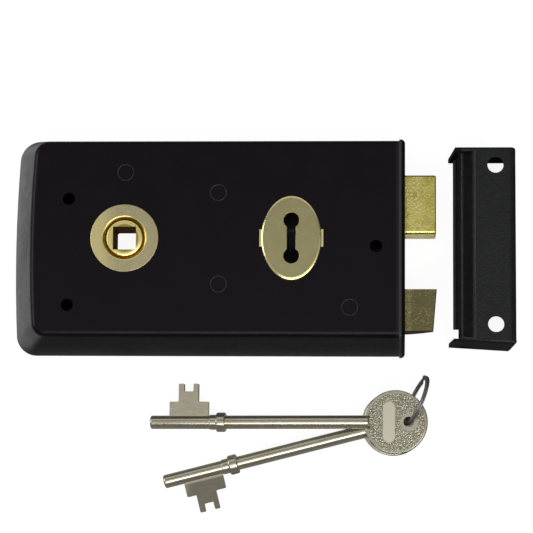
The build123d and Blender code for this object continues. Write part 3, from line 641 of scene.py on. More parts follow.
def enamel_material(name, colour, roughness, peel, peel_rise, specular=0.17, leans=(), painted_highlight=None):
    """Stoved black enamel: a faint peel, and a gloss that changes a little from place to place.

    Each lean is an X where the face starts to tilt, an X where it stops, and how steeply it rises between
    them. The painted highlight is an X from which the coat turns greyer, the X where it ends, and its grey:
    a highlight painted along a rounded edge.
    """
    material, tree, inputs, coordinates = new_material(name, colour, roughness, 0.0, specular)
    mottle = place_group(tree, "soft_mottle", coordinates, Patch_size=12.0 * MM, Fine_share=0.5)["Mask"]
    join(tree, ranged(tree, mottle, 0.0, 1.0, roughness - 0.03, roughness + 0.05), inputs["Roughness"])
    height = place_group(tree, "orange_peel", coordinates, Bump_size=peel)["Height"]
    lighter = mixed(tree, mottle, toned(colour, 1.3), toned(colour, 1.8))
    base = mixed(tree, ranged(tree, height, -0.3, 0.6), toned(colour, 0.7), lighter)
    x, _, _ = axes_of(tree, coordinates)
    # Painted highlight: the coat turns greyer toward a rounded edge
    if painted_highlight is not None:
        start, end, grey = painted_highlight
        base = mixed(tree, ranged(tree, x, start, end, smooth=True), base, (grey, grey, grey * 0.95))
    join(tree, base, inputs["Base Color"])
    relief = times(tree, height, peel_rise)
    for start, end, steepness in leans:
        relief = plus(tree, relief, ranged(tree, x, start, end, 0.0, (end - start) * steepness))
    bumped(tree, inputs, relief)
    return material


def turned_brass_material(
    name, colour, centre, roughness, bands, roll, left_highlight_run, left_highlight_colour, well_level=None
):
    """Brass turned on a lathe about an upright axis, dulled and speckled.

    Each band is an inner radius, an outer radius, a colour and a roughness; the bands paint rings of shade
    and highlight. The roll is the radius where an edge starts to round over, which way (1 outward, -1
    inward), how wide it is and its rounding. A painted highlight lightens the left side to its given colour,
    fading out between two places along X. Below well_level the bore is painted dark as shade.
    """
    band_blur = 0.12 * MM
    painted_shade_colour = (0.36, 0.14, 0.02)
    painted_shade_blur = 0.5 * MM
    mark_rise = 0.008 * MM
    material, tree, inputs, coordinates = new_material(name, colour, roughness, 1.0)
    centred = mapped(tree, coordinates, Location=(-centre.x, -centre.y, 0.0))
    marks = place_group(tree, "turning_marks", centred, Ring_pitch=0.22 * MM)
    radius = marks["Radius"]
    mottle = place_group(tree, "soft_mottle", coordinates, Patch_size=3.0 * MM, Fine_share=0.55)["Mask"]
    flecks = place_group(
        tree, "flecks", coordinates, Fleck_size=0.5 * MM, Amount=0.12, Gather=6.0 * MM
    )["Mask"]
    base = mixed(tree, mottle, toned(colour, 0.86), colour)
    base = mixed(tree, flecks, base, toned(colour, 1.25, 1.05, 0.6))
    x, _, _ = axes_of(tree, centred)
    # Painted highlight: the left side is lightened
    base = mixed(tree, ranged(tree, x, *left_highlight_run, 1.0, 0.0, smooth=True), base, left_highlight_colour)
    rough = ranged(tree, marks["Mask"], 0.0, 1.0, roughness - 0.04, roughness + 0.05)
    # Rings of painted shade and painted highlight
    for inner, outer, band_colour, band_roughness in bands:
        past_inner = ranged(tree, radius, inner - band_blur, inner + band_blur)
        short_of_outer = ranged(tree, radius, outer - band_blur, outer + band_blur, 1.0, 0.0)
        share = times(tree, past_inner, short_of_outer)
        base = mixed(tree, share, base, band_colour)
        rough = plus(tree, rough, times(tree, share, minus(tree, band_roughness, rough)))
    # Painted shade: the bore below well_level is darkened
    if well_level is not None:
        _, _, z = axes_of(tree, coordinates)
        deep = ranged(tree, z, well_level - painted_shade_blur, well_level, 1.0, 0.0)
        base = mixed(tree, deep, base, painted_shade_colour)
        rough = plus(tree, rough, times(tree, deep, 0.1))
    join(tree, base, inputs["Base Color"])
    join(tree, rough, inputs["Roughness"])
    start, way, width, rounding = roll
    over = times(tree, minus(tree, radius, start), way)
    over = maths(tree, "MINIMUM", maths(tree, "MAXIMUM", over, 0.0), width)
    rings = times(tree, marks["Height"], mark_rise)
    bumped(tree, inputs, plus(tree, rolled(tree, over, rounding), rings))
    return material


def pressed_brass_material(name, colour, rim_wear_and_highlight_colour, roughness, centre, half_width, half_height):
    """Satin brass sheet with a fine cross grain, rubbed bright at its rolled edge, which a painted highlight
    lightens too.
    """
    grain_turn = math.radians(62)
    roll_starts, rim_starts, rim_full = 0.91, 0.925, 0.955
    rim_roughness = 0.17
    rim_rounding = 1.1 * MM
    grain_rise = 0.003 * MM
    material, tree, inputs, coordinates = new_material(name, colour, roughness, 1.0)
    turned = mapped(tree, coordinates, Rotation=(0.0, 0.0, grain_turn))
    grain = place_group(tree, "brushed_grain", turned, Scratch_width=0.2 * MM, Stretch=14.0)
    mottle = place_group(tree, "soft_mottle", coordinates, Patch_size=4.0 * MM, Fine_share=0.5)["Mask"]
    centred = mapped(tree, coordinates, Location=(-centre.x, -centre.y, 0.0))
    reach = place_group(tree, "oval_field", centred, Half_width=half_width, Half_height=half_height)["Reach"]
    # Rubbed wear and painted highlight: the rolled edge is made far lighter
    rim = ranged(tree, reach, rim_starts, rim_full)
    field = mixed(tree, mottle, toned(colour, 0.94), toned(colour, 1.04))
    join(tree, mixed(tree, rim, field, rim_wear_and_highlight_colour), inputs["Base Color"])
    rough = ranged(tree, grain["Mask"], 0.0, 1.0, roughness - 0.03, roughness + 0.04)
    join(tree, minus(tree, rough, times(tree, rim, roughness - rim_roughness)), inputs["Roughness"])
    over = ranged(tree, reach, roll_starts, rim_full, 0.0, (rim_full - roll_starts) * half_width)
    scratches = times(tree, grain["Height"], grain_rise)
    bumped(tree, inputs, plus(tree, rolled(tree, over, rim_rounding), scratches))
    return material


def cast_brass_material(
    name, colour, fleck_colour, roughness, fleck_amount, head_start, bright_run, dull=0.5, patch=4.5 * MM
):
    """Cast and drawn brass: mottled, pitted, rubbed bright near the fore-end with a painted sheen, and
    painted dark as shade inside the case.
    """
    painted_shade_colour = (0.045, 0.035, 0.015)
    pit_size, pit_depth = 0.6 * MM, 0.05 * MM
    material, tree, inputs, coordinates = new_material(name, colour, roughness, 1.0)
    mottle = place_group(tree, "soft_mottle", coordinates, Patch_size=patch, Fine_share=0.4)["Mask"]
    fine = place_group(tree, "soft_mottle", coordinates, Patch_size=0.7 * MM, Fine_share=0.5)["Mask"]
    flecks = place_group(
        tree, "flecks", coordinates, Fleck_size=0.5 * MM, Amount=fleck_amount, Gather=4.0 * MM
    )["Mask"]
    x, _, _ = axes_of(tree, coordinates)
    fades_from, fades_to = head_start + bright_run * 0.45, head_start + bright_run
    # Rubbed wear and painted sheen: the brass is lighter and more flecked near the fore-end
    rubbed = ranged(tree, x, fades_from, fades_to, 1.0, 0.0, smooth=True)
    base = mixed(tree, mottle, toned(colour, dull), colour)
    base = mixed(tree, times(tree, fine, 0.4), base, toned(colour, 0.55))
    # Painted glint colour, laid where the brass is lighter
    glint = tuple(0.5 * (a + b) for a, b in zip(colour, fleck_colour))
    base = mixed(tree, times(tree, rubbed, mottle, 0.5), base, glint)
    bright = times(tree, flecks, plus(tree, times(tree, rubbed, 0.6), 0.4))
    base = mixed(tree, bright, base, fleck_colour)
    # Painted shade: the part of the bolt inside the case is darkened
    inside = ranged(tree, x, head_start - 3 * MM, head_start - 2 * MM, 1.0, 0.0)
    join(tree, mixed(tree, inside, base, painted_shade_colour), inputs["Base Color"])
    rough = ranged(tree, mottle, 0.0, 1.0, roughness + 0.06, roughness - 0.05)
    join(tree, minus(tree, rough, times(tree, bright, 0.1)), inputs["Roughness"])
    height = place_group(tree, "orange_peel", coordinates, Bump_size=pit_size)["Height"]
    bumped(tree, inputs, height, distance=pit_depth)
    return material


def nickel_material(name, colour, roughness, bow_centre, turn, mirrored, bit_painted_shade):
    """Worn nickel plate, rubbed along the key. A painted shade darkens the bit, less so toward its tip side,
    where a painted glint is left.

    The places below are in millimetres from the middle of the bow, along the key or out to the bit's side.
    """
    bit_starts, bit_full = 2.6, 3.2
    glint_starts, glint_full = 74.0, 80.0
    glint_side, glint_ends = 4.0, 8.5
    dents_start, dents_full = 62.0, 66.0
    grain_depth, dent_depth = 0.006 * MM, 0.004 * MM
    material, tree, inputs, coordinates = new_material(name, colour, roughness, 0.86)
    along = key_coordinates(tree, coordinates, bow_centre, turn, mirrored)
    grain = place_group(tree, "brushed_grain", along, Scratch_width=0.16, Stretch=22.0)
    mottle = place_group(tree, "soft_mottle", along, Patch_size=2.0, Fine_share=0.5)["Mask"]
    streaks = place_group(tree, "brushed_grain", along, Scratch_width=0.5, Stretch=14.0)["Mask"]
    base = mixed(tree, mottle, colour, toned(colour, 0.92, 0.88, 0.74))
    base = mixed(tree, times(tree, streaks, 0.6), base, toned(colour, 0.78, 0.76, 0.66))
    x, y, _ = axes_of(tree, along)
    # Painted shade on the bit, lifted near the tip as a painted glint
    on_bit = ranged(tree, y, bit_starts, bit_full)
    near_tip = ranged(tree, x, glint_starts, glint_full, smooth=True)
    near_shank = ranged(tree, y, glint_side, glint_ends, 1.0, 0.0, smooth=True)
    shade = times(tree, on_bit, inverse(tree, times(tree, near_tip, near_shank)))
    dim = mixed(tree, shade, (1.0, 1.0, 1.0), (bit_painted_shade, bit_painted_shade, bit_painted_shade * 0.97))
    join(tree, mixed(tree, 1.0, base, dim, "MULTIPLY"), inputs["Base Color"])
    rough = ranged(tree, grain["Mask"], 0.0, 1.0, roughness - 0.04, roughness + 0.08)
    join(tree, rough, inputs["Roughness"])
    brushed = bumped(tree, inputs, grain["Height"], 0.25, grain_depth)
    dents = noise(tree, "small dents", along, 1.1, Detail=1.0)
    tip = ranged(tree, x, dents_start, dents_full, 0.08, 0.8)
    bumped(tree, inputs, times(tree, dents, tip), distance=dent_depth, before=brushed)
    return material


def bow_material(name, colour, panel_colour, roughness, centre, turn, mirrored):
    """Nickel plated bow: smooth rim, boss and cartouche, and a field of fine pebbles."""
    pebble_depth, tooth_depth = 0.08 * MM, 0.01 * MM
    material, tree, inputs, coordinates = new_material(name, colour, roughness, 1.0)
    local = key_coordinates(tree, coordinates, centre, turn, mirrored)
    masks = place_group(tree, "bow_field", local)
    field = masks["Mask"]
    pebbles = add_node(
        tree, "ShaderNodeTexVoronoi", "pebbles", feature="SMOOTH_F1", Vector=local, Scale=1.9, Smoothness=0.3
    )
    grit = noise(tree, "grit", local, 2.6, Detail=2.0, Roughness=0.6)
    height = plus(tree, times(tree, pebbles.outputs["Distance"], -1.0), times(tree, grit, 1.1))
    pebbled = bumped(tree, inputs, times(tree, height, field), distance=pebble_depth)
    tooth = noise(tree, "fine tooth", local, 3.0, Detail=2.0)
    bumped(tree, inputs, tooth, 0.4, tooth_depth, before=pebbled)
    ground = mixed(tree, ranged(tree, height, -0.1, 0.45), toned(colour, 0.6), toned(colour, 1.1))
    base = mixed(tree, field, colour, ground)
    base = mixed(tree, masks["Panel"], base, panel_colour)
    base = mixed(tree, times(tree, masks["Boss"], 0.3), base, panel_colour)
    join(tree, base, inputs["Base Color"])
    join(tree, ranged(tree, masks["Panel"], 0.0, 1.0, roughness, roughness + 0.2), inputs["Roughness"])
    return material


def plain_steel_material(name, colour, roughness, stretch, metallic=1.0):
    """Oiled or oxidised steel with a light grain."""
    material, tree, inputs, coordinates = new_material(name, colour, roughness, metallic)
    grain = place_group(tree, "brushed_grain", coordinates, Scratch_width=0.2 * MM, Stretch=stretch)
    mottle = place_group(tree, "soft_mottle", coordinates, Patch_size=5.0 * MM, Fine_share=0.4)["Mask"]
    join(tree, mixed(tree, mottle, toned(colour, 0.8), colour), inputs["Base Color"])
    rough = ranged(tree, grain["Mask"], 0.0, 1.0, roughness - 0.05, roughness + 0.08)
    join(tree, rough, inputs["Roughness"])
    bumped(tree, inputs, grain["Height"], 0.5, 0.02 * MM)
    return material


def post_material(name, enamel_colour, steel_colour, roughness, face_level):
    """A steel post whose riveted end was painted with the face."""
    sheet = 1.2 * MM
    material, tree, inputs, coordinates = new_material(name, steel_colour, roughness, 1.0, 0.17)
    _, _, z = axes_of(tree, coordinates)
    painted = ranged(tree, z, face_level - sheet, face_level - sheet + 0.1 * MM)
    grain = place_group(tree, "brushed_grain", coordinates, Scratch_width=0.2 * MM, Stretch=1.0)
    join(tree, mixed(tree, painted, steel_colour, enamel_colour), inputs["Base Color"])
    join(tree, inverse(tree, painted), inputs["Metallic"])
    join(tree, ranged(tree, grain["Mask"], 0.0, 1.0, roughness, roughness + 0.1), inputs["Roughness"])
    return material


# Geometry node helpers


def geometry_tree(name, values):
    """A geometry tree with a named input for each value. Gives the tree, its input sockets and its output."""
    tree = bpy.data.node_groups.new(name, "GeometryNodeTree")
    tree.interface.new_socket(name="Geometry", in_out="INPUT", socket_type="NodeSocketGeometry")
    for label, value in values.items():
        kind = "NodeSocketInt" if isinstance(value, int) else "NodeSocketFloat"
        socket = tree.interface.new_socket(name=label, in_out="INPUT", socket_type=kind)
        socket.default_value = value
    tree.interface.new_socket(name="Geometry", in_out="OUTPUT", socket_type="NodeSocketGeometry")
    given = tree.nodes.new("NodeGroupInput").outputs
    out = tree.nodes.new("NodeGroupOutput").inputs["Geometry"]
    return tree, given, out


def round_curve(tree, label, radius, steps):
    """A circle, as a path or as a wire's section."""
    circle = add_node(tree, "GeometryNodeCurvePrimitiveCircle", label, Radius=radius, Resolution=steps)
    return circle.outputs["Curve"]


def wound_wire(tree, given, section):
    """A wire wound at an even pitch about Z, from its section, with closed ends."""
    coil = add_node(
        tree, "GeometryNodeCurveSpiral", "coil", Reverse=True, Rotations=given["Rotations"],
        Height=given["Height"], Resolution=given["Steps"],
        Start_Radius=given["Radius"], End_Radius=given["Radius"],
    )
    upright = add_node(
        tree, "GeometryNodeSetCurveNormal", "section kept upright", mode="Z_UP", Curve=coil.outputs["Curve"]
    )
    wire = add_node(
        tree, "GeometryNodeCurveToMesh", "wire", Curve=upright.outputs["Curve"],
        Profile_Curve=section, Fill_Caps=True,
    )
    return wire.outputs["Mesh"]


def placed_shape(tree, shape, translation, rotation=(0.0, 0.0, 0.0)):
    """Moves and turns a finished shape to where it belongs."""
    move = add_node(
        tree, "GeometryNodeTransform", "placed", Geometry=shape, Translation=translation, Rotation=rotation
    )
    return move.outputs["Geometry"]


def on_points(tree, points, shape):
    """One copy of a shape on each point."""
    scatter = add_node(tree, "GeometryNodeInstanceOnPoints", "copies", Points=points, Instance=shape)
    return scatter.outputs["Instances"]


def close_tree(tree, geometry, material, out, smooth=True):
    """Ends a tree in Realize Instances, smooth shading and Set Material."""
    realize = add_node(tree, "GeometryNodeRealizeInstances", "realized", Geometry=geometry)
    shade = add_node(
        tree, "GeometryNodeSetShadeSmooth", "shading",
        Geometry=realize.outputs["Geometry"], Shade_Smooth=smooth,
    )
    finish = add_node(
        tree, "GeometryNodeSetMaterial", "finish", Geometry=shade.outputs["Geometry"], Material=material
    )
    join(tree, finish.outputs["Geometry"], out)


def outward(mesh):
    """Turns every face of a closed mesh to point out."""
    work = bmesh.new()
    work.from_mesh(mesh)
    bmesh.ops.recalc_face_normals(work, faces=work.faces)
    work.to_mesh(mesh)
    work.free()


def made_by_nodes(name, tree, values, body, points=()):
    """Runs a geometry tree on a mesh of points and gives a plain mesh that rides on a body."""
    carrier = bpy.data.objects.new(name, bpy.data.meshes.new(name))
    carrier.data.from_pydata([tuple(point) for point in points], [], [])
    bpy.context.scene.collection.objects.link(carrier)
    modifier = carrier.modifiers.new("shape", "NODES")
    modifier.node_group = tree
    for item in tree.interface.items_tree:
        if item.item_type == "SOCKET" and item.in_out == "INPUT" and item.name in values:
            modifier[item.identifier] = values[item.name]
    carrier.update_tag()
    graph = bpy.context.evaluated_depsgraph_get()
    graph.update()
    shaped = carrier.evaluated_get(graph)
    mesh = bpy.data.meshes.new_from_object(shaped, preserve_all_data_layers=True, depsgraph=graph)
    carrier.modifiers.remove(modifier)
    mesh.name = name
    carrier.data = mesh
    outward(mesh)
    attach(carrier, body)
    if not len(mesh.polygons):
        raise RuntimeError(f"{name} came out empty")
    return carrier


def own_piece(name, mesh, material, body):
    """A finished mesh as a piece of the lock."""
    piece = bpy.data.objects.new(name, mesh)
    bpy.context.scene.collection.objects.link(piece)
    mesh.materials.clear()
    mesh.materials.append(material)
    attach(piece, body)
    return piece


def finish_node(node, material):
    """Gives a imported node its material."""
    slots = nodes[node].material_slots
    if not slots:
        nodes[node].data.materials.append(material)
        return
    for slot in slots:
        slot.material = material


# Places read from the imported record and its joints


def joint_place(name):
    """Where a joint's axis passes."""
    for joint in frame["joints"]:
        if joint["name"] == name:
            return Vector(joint["pos_m"])
    raise RuntimeError(f"the record has no joint {name}")


riveted_posts = ("upper_post", "bolt_post", "lower_post", "latch_post")
collar_rise = 0.7 * MM
case_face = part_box("front_collar")[1].z - collar_rise
follower_centre = middle_of("front_collar")
keyhole_centre = middle_of("escutcheon")


def on_posts(level):
    """A point on the axis of each riveted post, at a level."""
    return [(middle_of(node).x, middle_of(node).y, level) for node in riveted_posts]


class RIMLOCK_OT_case(bpy.types.Operator):
    """Gives the case, its back plate and its fore-end their stoved enamel."""

    bl_idname = "rimlock.case"
    bl_label = "Case"

    def execute(self, context):
        look = context.scene.rimlock_enamel
        black = tuple(look.case_black)
        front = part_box("fore_end")[0].x
        # Painted highlights: the enamel turns greyer along the rounded edges at the fore-end
        case_painted_highlight = (front - 1.6 * MM, front + 0.4 * MM, 0.022)
        fore_end_painted_highlight = (front + 1.1 * MM, front + 0.2 * MM, 0.05)
        enamel = enamel_material(
            "black_enamel", black, look.case_gloss, 0.5 * MM, 0.006 * MM, painted_highlight=case_painted_highlight
        )
        fore_end = enamel_material(
            "fore_end_enamel", black, look.case_gloss, 0.5 * MM, 0.008 * MM, painted_highlight=fore_end_painted_highlight
        )
        finish_node("case", enamel)
        finish_node("back_plate", enamel)
        finish_node("fore_end", fore_end)
        return {"FINISHED"}


class RIMLOCK_OT_rivets(bpy.types.Operator):
    """Makes the swaged beads of the posts' riveted ends on the face, and paints the posts' ends."""

    bl_idname = "rimlock.rivets"
    bl_label = "Rivets"

    def execute(self, context):
        look = context.scene.rimlock_enamel
        sizes = context.scene.rimlock_rivets
        steel = tuple(context.scene.rimlock_steel.works)
        post = post_material("painted_post", tuple(look.case_black), steel, look.case_gloss, case_face)
        for node in riveted_posts:
            finish_node(node, post)
        values = {
            "Bead diameter": sizes.bead_diameter,
            "Bead thickness": sizes.bead_thickness,
            "Bead rise": sizes.bead_rise,
        }
        tree, given, out = geometry_tree("rivet_beads", values)
        bead_radius = maths(tree, "DIVIDE", given["Bead diameter"], 2.0)
        section_radius = maths(tree, "DIVIDE", given["Bead thickness"], 2.0)
        bead = add_node(
            tree, "GeometryNodeCurveToMesh", "bead",
            Curve=round_curve(tree, "middle of the bead", bead_radius, 96),
            Profile_Curve=round_curve(tree, "section of the bead", section_radius, 48),
        )
        drop = vector_of(tree, z=minus(tree, given["Bead rise"], section_radius))
        lowered = placed_shape(tree, bead.outputs["Mesh"], drop)
        enamel = bpy.data.materials["black_enamel"]
        close_tree(tree, on_points(tree, given["Geometry"], lowered), enamel, out)
        made_by_nodes("rivet_beads", tree, values, "lock_case", on_posts(case_face))
        return {"FINISHED"}


class RIMLOCK_OT_works(bpy.types.Operator):
    """Gives the levers, the springs, the screws and the spacer their steels."""

    bl_idname = "rimlock.works"
    bl_label = "Works"

    def execute(self, context):
        steel = tuple(context.scene.rimlock_steel.works)
        # The levers are painted nearly black: painted shade inside the case, seen through the keyhole
        lever_steel = plain_steel_material("lever_steel", toned(steel, 0.15), 0.4, 10.0)
        spring_steel = plain_steel_material("spring_steel", toned(steel, 0.75), 0.28, 20.0)
        case_steel = plain_steel_material("case_steel", toned(steel, 0.95), 0.4, 6.0)
        screw_steel = plain_steel_material("screw_steel", toned(steel, 1.25), 0.32, 3.0)
        for lever in ("front_lever", "back_lever"):
            finish_node(lever, lever_steel)
            self.make_lever_strip(lever, spring_steel)
        for node in ("lever_spacer", "spring_stop"):
            finish_node(node, case_steel)
        self.make_screws(context.scene.rimlock_screws, screw_steel)
        self.make_latch_spring(context.scene.rimlock_latch_spring, spring_steel)
        return {"FINISHED"}

    def make_lever_strip(self, lever, material):
        """The flat spring over a lever, as a piece that rides on the lever."""
        node = f"{lever}_spring"
        work = bmesh.new()
        work.from_mesh(nodes[node].data)
        bmesh.ops.remove_doubles(work, verts=work.verts, dist=0.0001 * MM)
        mesh = bpy.data.meshes.new(f"{lever}_strip")
        work.to_mesh(mesh)
        work.free()
        strip = own_piece(f"{lever}_strip", mesh, material, lever)
        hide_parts(node)
        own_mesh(strip)

    def make_screws(self, sizes, material):
        """Slotted screws under the posts, from the back."""
        values = {
            "Head diameter": sizes.head_diameter,
            "Shank diameter": sizes.shank_diameter,
            "Length": sizes.length,
            "Slot width": sizes.slot_width,
            "Slot depth": sizes.slot_depth,
        }
        tree, given, out = geometry_tree("slotted_screws", values)
        sides = 48
        head_radius = maths(tree, "DIVIDE", given["Head diameter"], 2.0)
        shank_radius = maths(tree, "DIVIDE", given["Shank diameter"], 2.0)
        head = add_node(
            tree, "GeometryNodeMeshCone", "countersunk head", Vertices=sides, Radius_Bottom=head_radius,
            Radius_Top=shank_radius, Depth=minus(tree, head_radius, shank_radius),
        )
        shank = add_node(
            tree, "GeometryNodeMeshCylinder", "shank",
            Vertices=sides, Radius=shank_radius, Depth=given["Length"],
        )
        half_way = vector_of(tree, z=maths(tree, "DIVIDE", given["Length"], 2.0))
        raised = placed_shape(tree, shank.outputs["Mesh"], half_way)
        whole = add_node(
            tree, "GeometryNodeMeshBoolean", "head and shank", operation="UNION", Mesh_2=head.outputs["Mesh"]
        )
        join(tree, raised, whole.inputs["Mesh 2"])
        slot_length = times(tree, given["Head diameter"], 1.2)
        slot_size = vector_of(tree, slot_length, given["Slot width"], times(tree, given["Slot depth"], 2.0))
        slot = add_node(tree, "GeometryNodeMeshCube", "driver's slot", Size=slot_size)
        cut = add_node(
            tree, "GeometryNodeMeshBoolean", "slotted", operation="DIFFERENCE",
            Mesh_1=whole.outputs["Mesh"], Mesh_2=slot.outputs["Mesh"],
        )
        screws = on_points(tree, given["Geometry"], cut.outputs["Mesh"])
        close_tree(tree, screws, material, out, smooth=False)
        places = on_posts(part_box("cap_screws")[0].z)
        piece = made_by_nodes("slotted_screws", tree, values, "lock_case", places)
        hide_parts("cap_screws")

    def make_latch_spring(self, sizes, material):
        """The coil that pushes the latch bolt out."""
        low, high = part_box("latch_spring")
        values = {
            "Radius": (high.y - low.y - sizes.wire_diameter) / 2,
            "Height": high.x - low.x - sizes.wire_diameter,
            "Rotations": sizes.turns,
            "Steps": sizes.steps,
            "Wire radius": sizes.wire_diameter / 2,
        }
        tree, given, out = geometry_tree("coil_spring", values)
        wire = wound_wire(tree, given, round_curve(tree, "section of the wire", given["Wire radius"], 16))
        start = Vector((low.x + sizes.wire_diameter / 2, (low.y + high.y) / 2, (low.z + high.z) / 2))
        quarter_turn = (0.0, math.radians(90.0), 0.0)
        close_tree(tree, placed_shape(tree, wire, start, quarter_turn), material, out)
        spring = made_by_nodes("coil_spring", tree, values, "lock_case")
        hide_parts("latch_spring")
        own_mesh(spring)


class RIMLOCK_OT_follower(bpy.types.Operator):
    """Gives the follower and its two collars their turned brass."""

    bl_idname = "rimlock.follower"
    bl_label = "Follower and collars"

    def execute(self, context):
        brass = tuple(context.scene.rimlock_brass.collar)
        # The dark band is painted shade in the groove round the hub; the gold bands and the lighter left
        # sides are painted highlights
        dark = (0.42, 0.25, 0.02)
        painted_gold_highlight = (1.0, 0.88, 0.34)
        collar = turned_brass_material(
            "collar_brass", brass, follower_centre, 0.42,
            bands=[(6.6 * MM, 7.5 * MM, dark, 0.3), (7.55 * MM, 7.95 * MM, painted_gold_highlight, 0.24)],
            roll=(7.9 * MM, -1.0, 0.45 * MM, 1.0 * MM),
            left_highlight_run=(-9.5 * MM, -2.0 * MM),
            left_highlight_colour=toned(brass, 1.32, 1.32, 1.1),
        )
        well_depth = 0.7 * MM
        hub = turned_brass_material(
            "hub_brass", toned(brass, 0.95, 0.83, 0.36), follower_centre, 0.33,
            bands=[(5.0 * MM, 6.5 * MM, painted_gold_highlight, 0.36), (6.65 * MM, 7.5 * MM, dark, 0.25)],
            roll=(5.3 * MM, 1.0, 1.3 * MM, 2.4 * MM),
            left_highlight_run=(-5.5 * MM, -1.5 * MM),
            left_highlight_colour=painted_gold_highlight,
            well_level=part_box("follower")[1].z - well_depth,
        )
        finish_node("front_collar", collar)
        finish_node("back_collar", collar)
        finish_node("follower", hub)
        return {"FINISHED"}


class RIMLOCK_OT_escutcheon(bpy.types.Operator):
    """Gives the escutcheon its pressed brass."""

    bl_idname = "rimlock.escutcheon"
    bl_label = "Escutcheon"

    def execute(self, context):
        look = context.scene.rimlock_brass
        low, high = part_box("escutcheon")
        half_width = 10.55 * MM
        brass = pressed_brass_material(
            "escutcheon_brass", tuple(look.escutcheon), tuple(look.rim), 0.4, keyhole_centre,
            half_width, (high.y - low.y) / 2,
        )
        finish_node("escutcheon", brass)
        return {"FINISHED"}


class RIMLOCK_OT_bolts(bpy.types.Operator):
    """Gives the deadbolt and the latch bolt their cast brass."""

    bl_idname = "rimlock.bolts"
    bl_label = "Bolts"

    def execute(self, context):
        look = context.scene.rimlock_brass
        fleck = tuple(look.fleck)
        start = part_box("fore_end")[1].x
        bolt = cast_brass_material("bolt_brass", tuple(look.bolt), fleck, 0.34, 0.56, start, 9 * MM)
        latch = cast_brass_material(
            "latch_brass", tuple(look.latch), toned(fleck, 0.7), 0.4, 0.3, start, 3 * MM,
            dull=0.8, patch=3.2 * MM,
        )
        finish_node("deadbolt", bolt)
        finish_node("latch_bolt", latch)
        return {"FINISHED"}


class RIMLOCK_OT_keep(bpy.types.Operator):
    """Gives the keep its textured coat."""

    bl_idname = "rimlock.keep"
    bl_label = "Keep"

    def execute(self, context):
        look = context.scene.rimlock_enamel
        left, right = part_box("keep")[0].x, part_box("keep")[1].x
        leans = (
            (left + 1.0 * MM, left + 4.0 * MM, -0.6),
            (left + 4.1 * MM, left + 4.8 * MM, 0.5),
            (left + 4.9 * MM, left + 8.1 * MM, 0.55),
            (left + 8.5 * MM, left + 9.1 * MM, 0.6),
            (right - 2.4 * MM, right - 1.4 * MM, -0.15),
        )
        coat = enamel_material(
            "black_texture", tuple(look.keep_black), look.keep_gloss, look.peel_size, 0.09 * MM, 0.28, leans
        )
        finish_node("keep", coat)
        return {"FINISHED"}


class RIMLOCK_OT_keys(bpy.types.Operator):
    """Gives both keys their worn nickel, with a pebbled field on each bow."""

    bl_idname = "rimlock.keys"
    bl_label = "Keys"

    def execute(self, context):
        steel = context.scene.rimlock_steel
        nickel, panel = tuple(steel.nickel), tuple(steel.cartouche)
        bow_nickel = toned(nickel, 0.88, 0.87, 0.79)
        # Each key: the direction of its shank in degrees, the side of its bit, and how light the bit stays
        # under its painted shade
        keys = (("upper_key", 179.8, -1.0, 0.95), ("lower_key", 194.3, 1.0, 0.42))
        for key, turn, mirrored, bit_painted_shade in keys:
            centre = middle_of(f"{key}_bow")
            shank = nickel_material(f"{key}_nickel", nickel, 0.17, centre, turn, mirrored, bit_painted_shade)
            bow = bow_material(f"{key}_bow_nickel", bow_nickel, panel, 0.27, centre, turn, mirrored)
            finish_node(f"{key}_shank", shank)
            finish_node(f"{key}_bow", bow)
        return {"FINISHED"}


class RIMLOCK_OT_split_ring(bpy.types.Operator):
    """Winds the split ring from flat dark steel wire, standing on its edge through both bows."""

    bl_idname = "rimlock.split_ring"
    bl_label = "Split ring"

    def execute(self, context):
        colour = tuple(context.scene.rimlock_steel.ring)
        sizes = context.scene.rimlock_split_ring
        steel = plain_steel_material("ring_steel", colour, 0.4, 4.0, 0.5)
        radius = (sizes.diameter - sizes.wire_width) / 2
        axial = sizes.pitch * sizes.turns
        values = {
            "Radius": radius,
            "Height": axial,
            "Rotations": sizes.turns,
            "Steps": sizes.steps,
            "Wire width": sizes.wire_width,
            "Wire thickness": sizes.wire_thickness,
            "Edge round": sizes.edge_round,
        }
        tree, given, out = geometry_tree("flat_wire_ring", values)
        flat = add_node(
            tree, "GeometryNodeCurvePrimitiveQuadrilateral", "flat section",
            Width=given["Wire width"], Height=given["Wire thickness"],
        )
        eased = add_node(
            tree, "GeometryNodeFilletCurve", "eased edges", mode="POLY", Count=3,
            Curve=flat.outputs["Curve"], Radius=given["Edge round"],
        )
        wire = wound_wire(tree, given, eased.outputs["Curve"])
        place, turn = self.stance(sizes, radius, axial)
        close_tree(tree, placed_shape(tree, wire, place, turn), steel, out, smooth=False)
        ring = made_by_nodes("flat_wire_ring", tree, values, "split_ring")
        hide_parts("split_ring")
        return {"FINISHED"}

    def stance(self, sizes, radius, axial):
        """Where the winding starts and how it is turned, for a ring that stands and passes the bows."""
        across = Vector((math.cos(sizes.heading), math.sin(sizes.heading), 0.0))
        side = Vector((math.sin(sizes.heading), -math.cos(sizes.heading), 0.0))
        up = side * math.sin(sizes.lean) + Vector((0.0, 0.0, math.cos(sizes.lean)))
        axis = across.cross(up)
        hole = Vector(sizes.hole_place)
        half_height = sizes.diameter / 2 * math.cos(sizes.lean)
        half_depth = (axial + sizes.wire_thickness) / 2 * math.sin(sizes.lean)
        middle = sizes.ground_gap + half_height + half_depth
        rise = (hole.z - middle) / math.cos(sizes.lean)
        centre = hole - (up * rise - across * math.sqrt(radius ** 2 - rise ** 2))
        first = across * math.cos(sizes.start) + up * math.sin(sizes.start)
        turn = Matrix((first, axis.cross(first), axis)).transposed().to_euler()
        return centre - axis * (axial / 2), turn


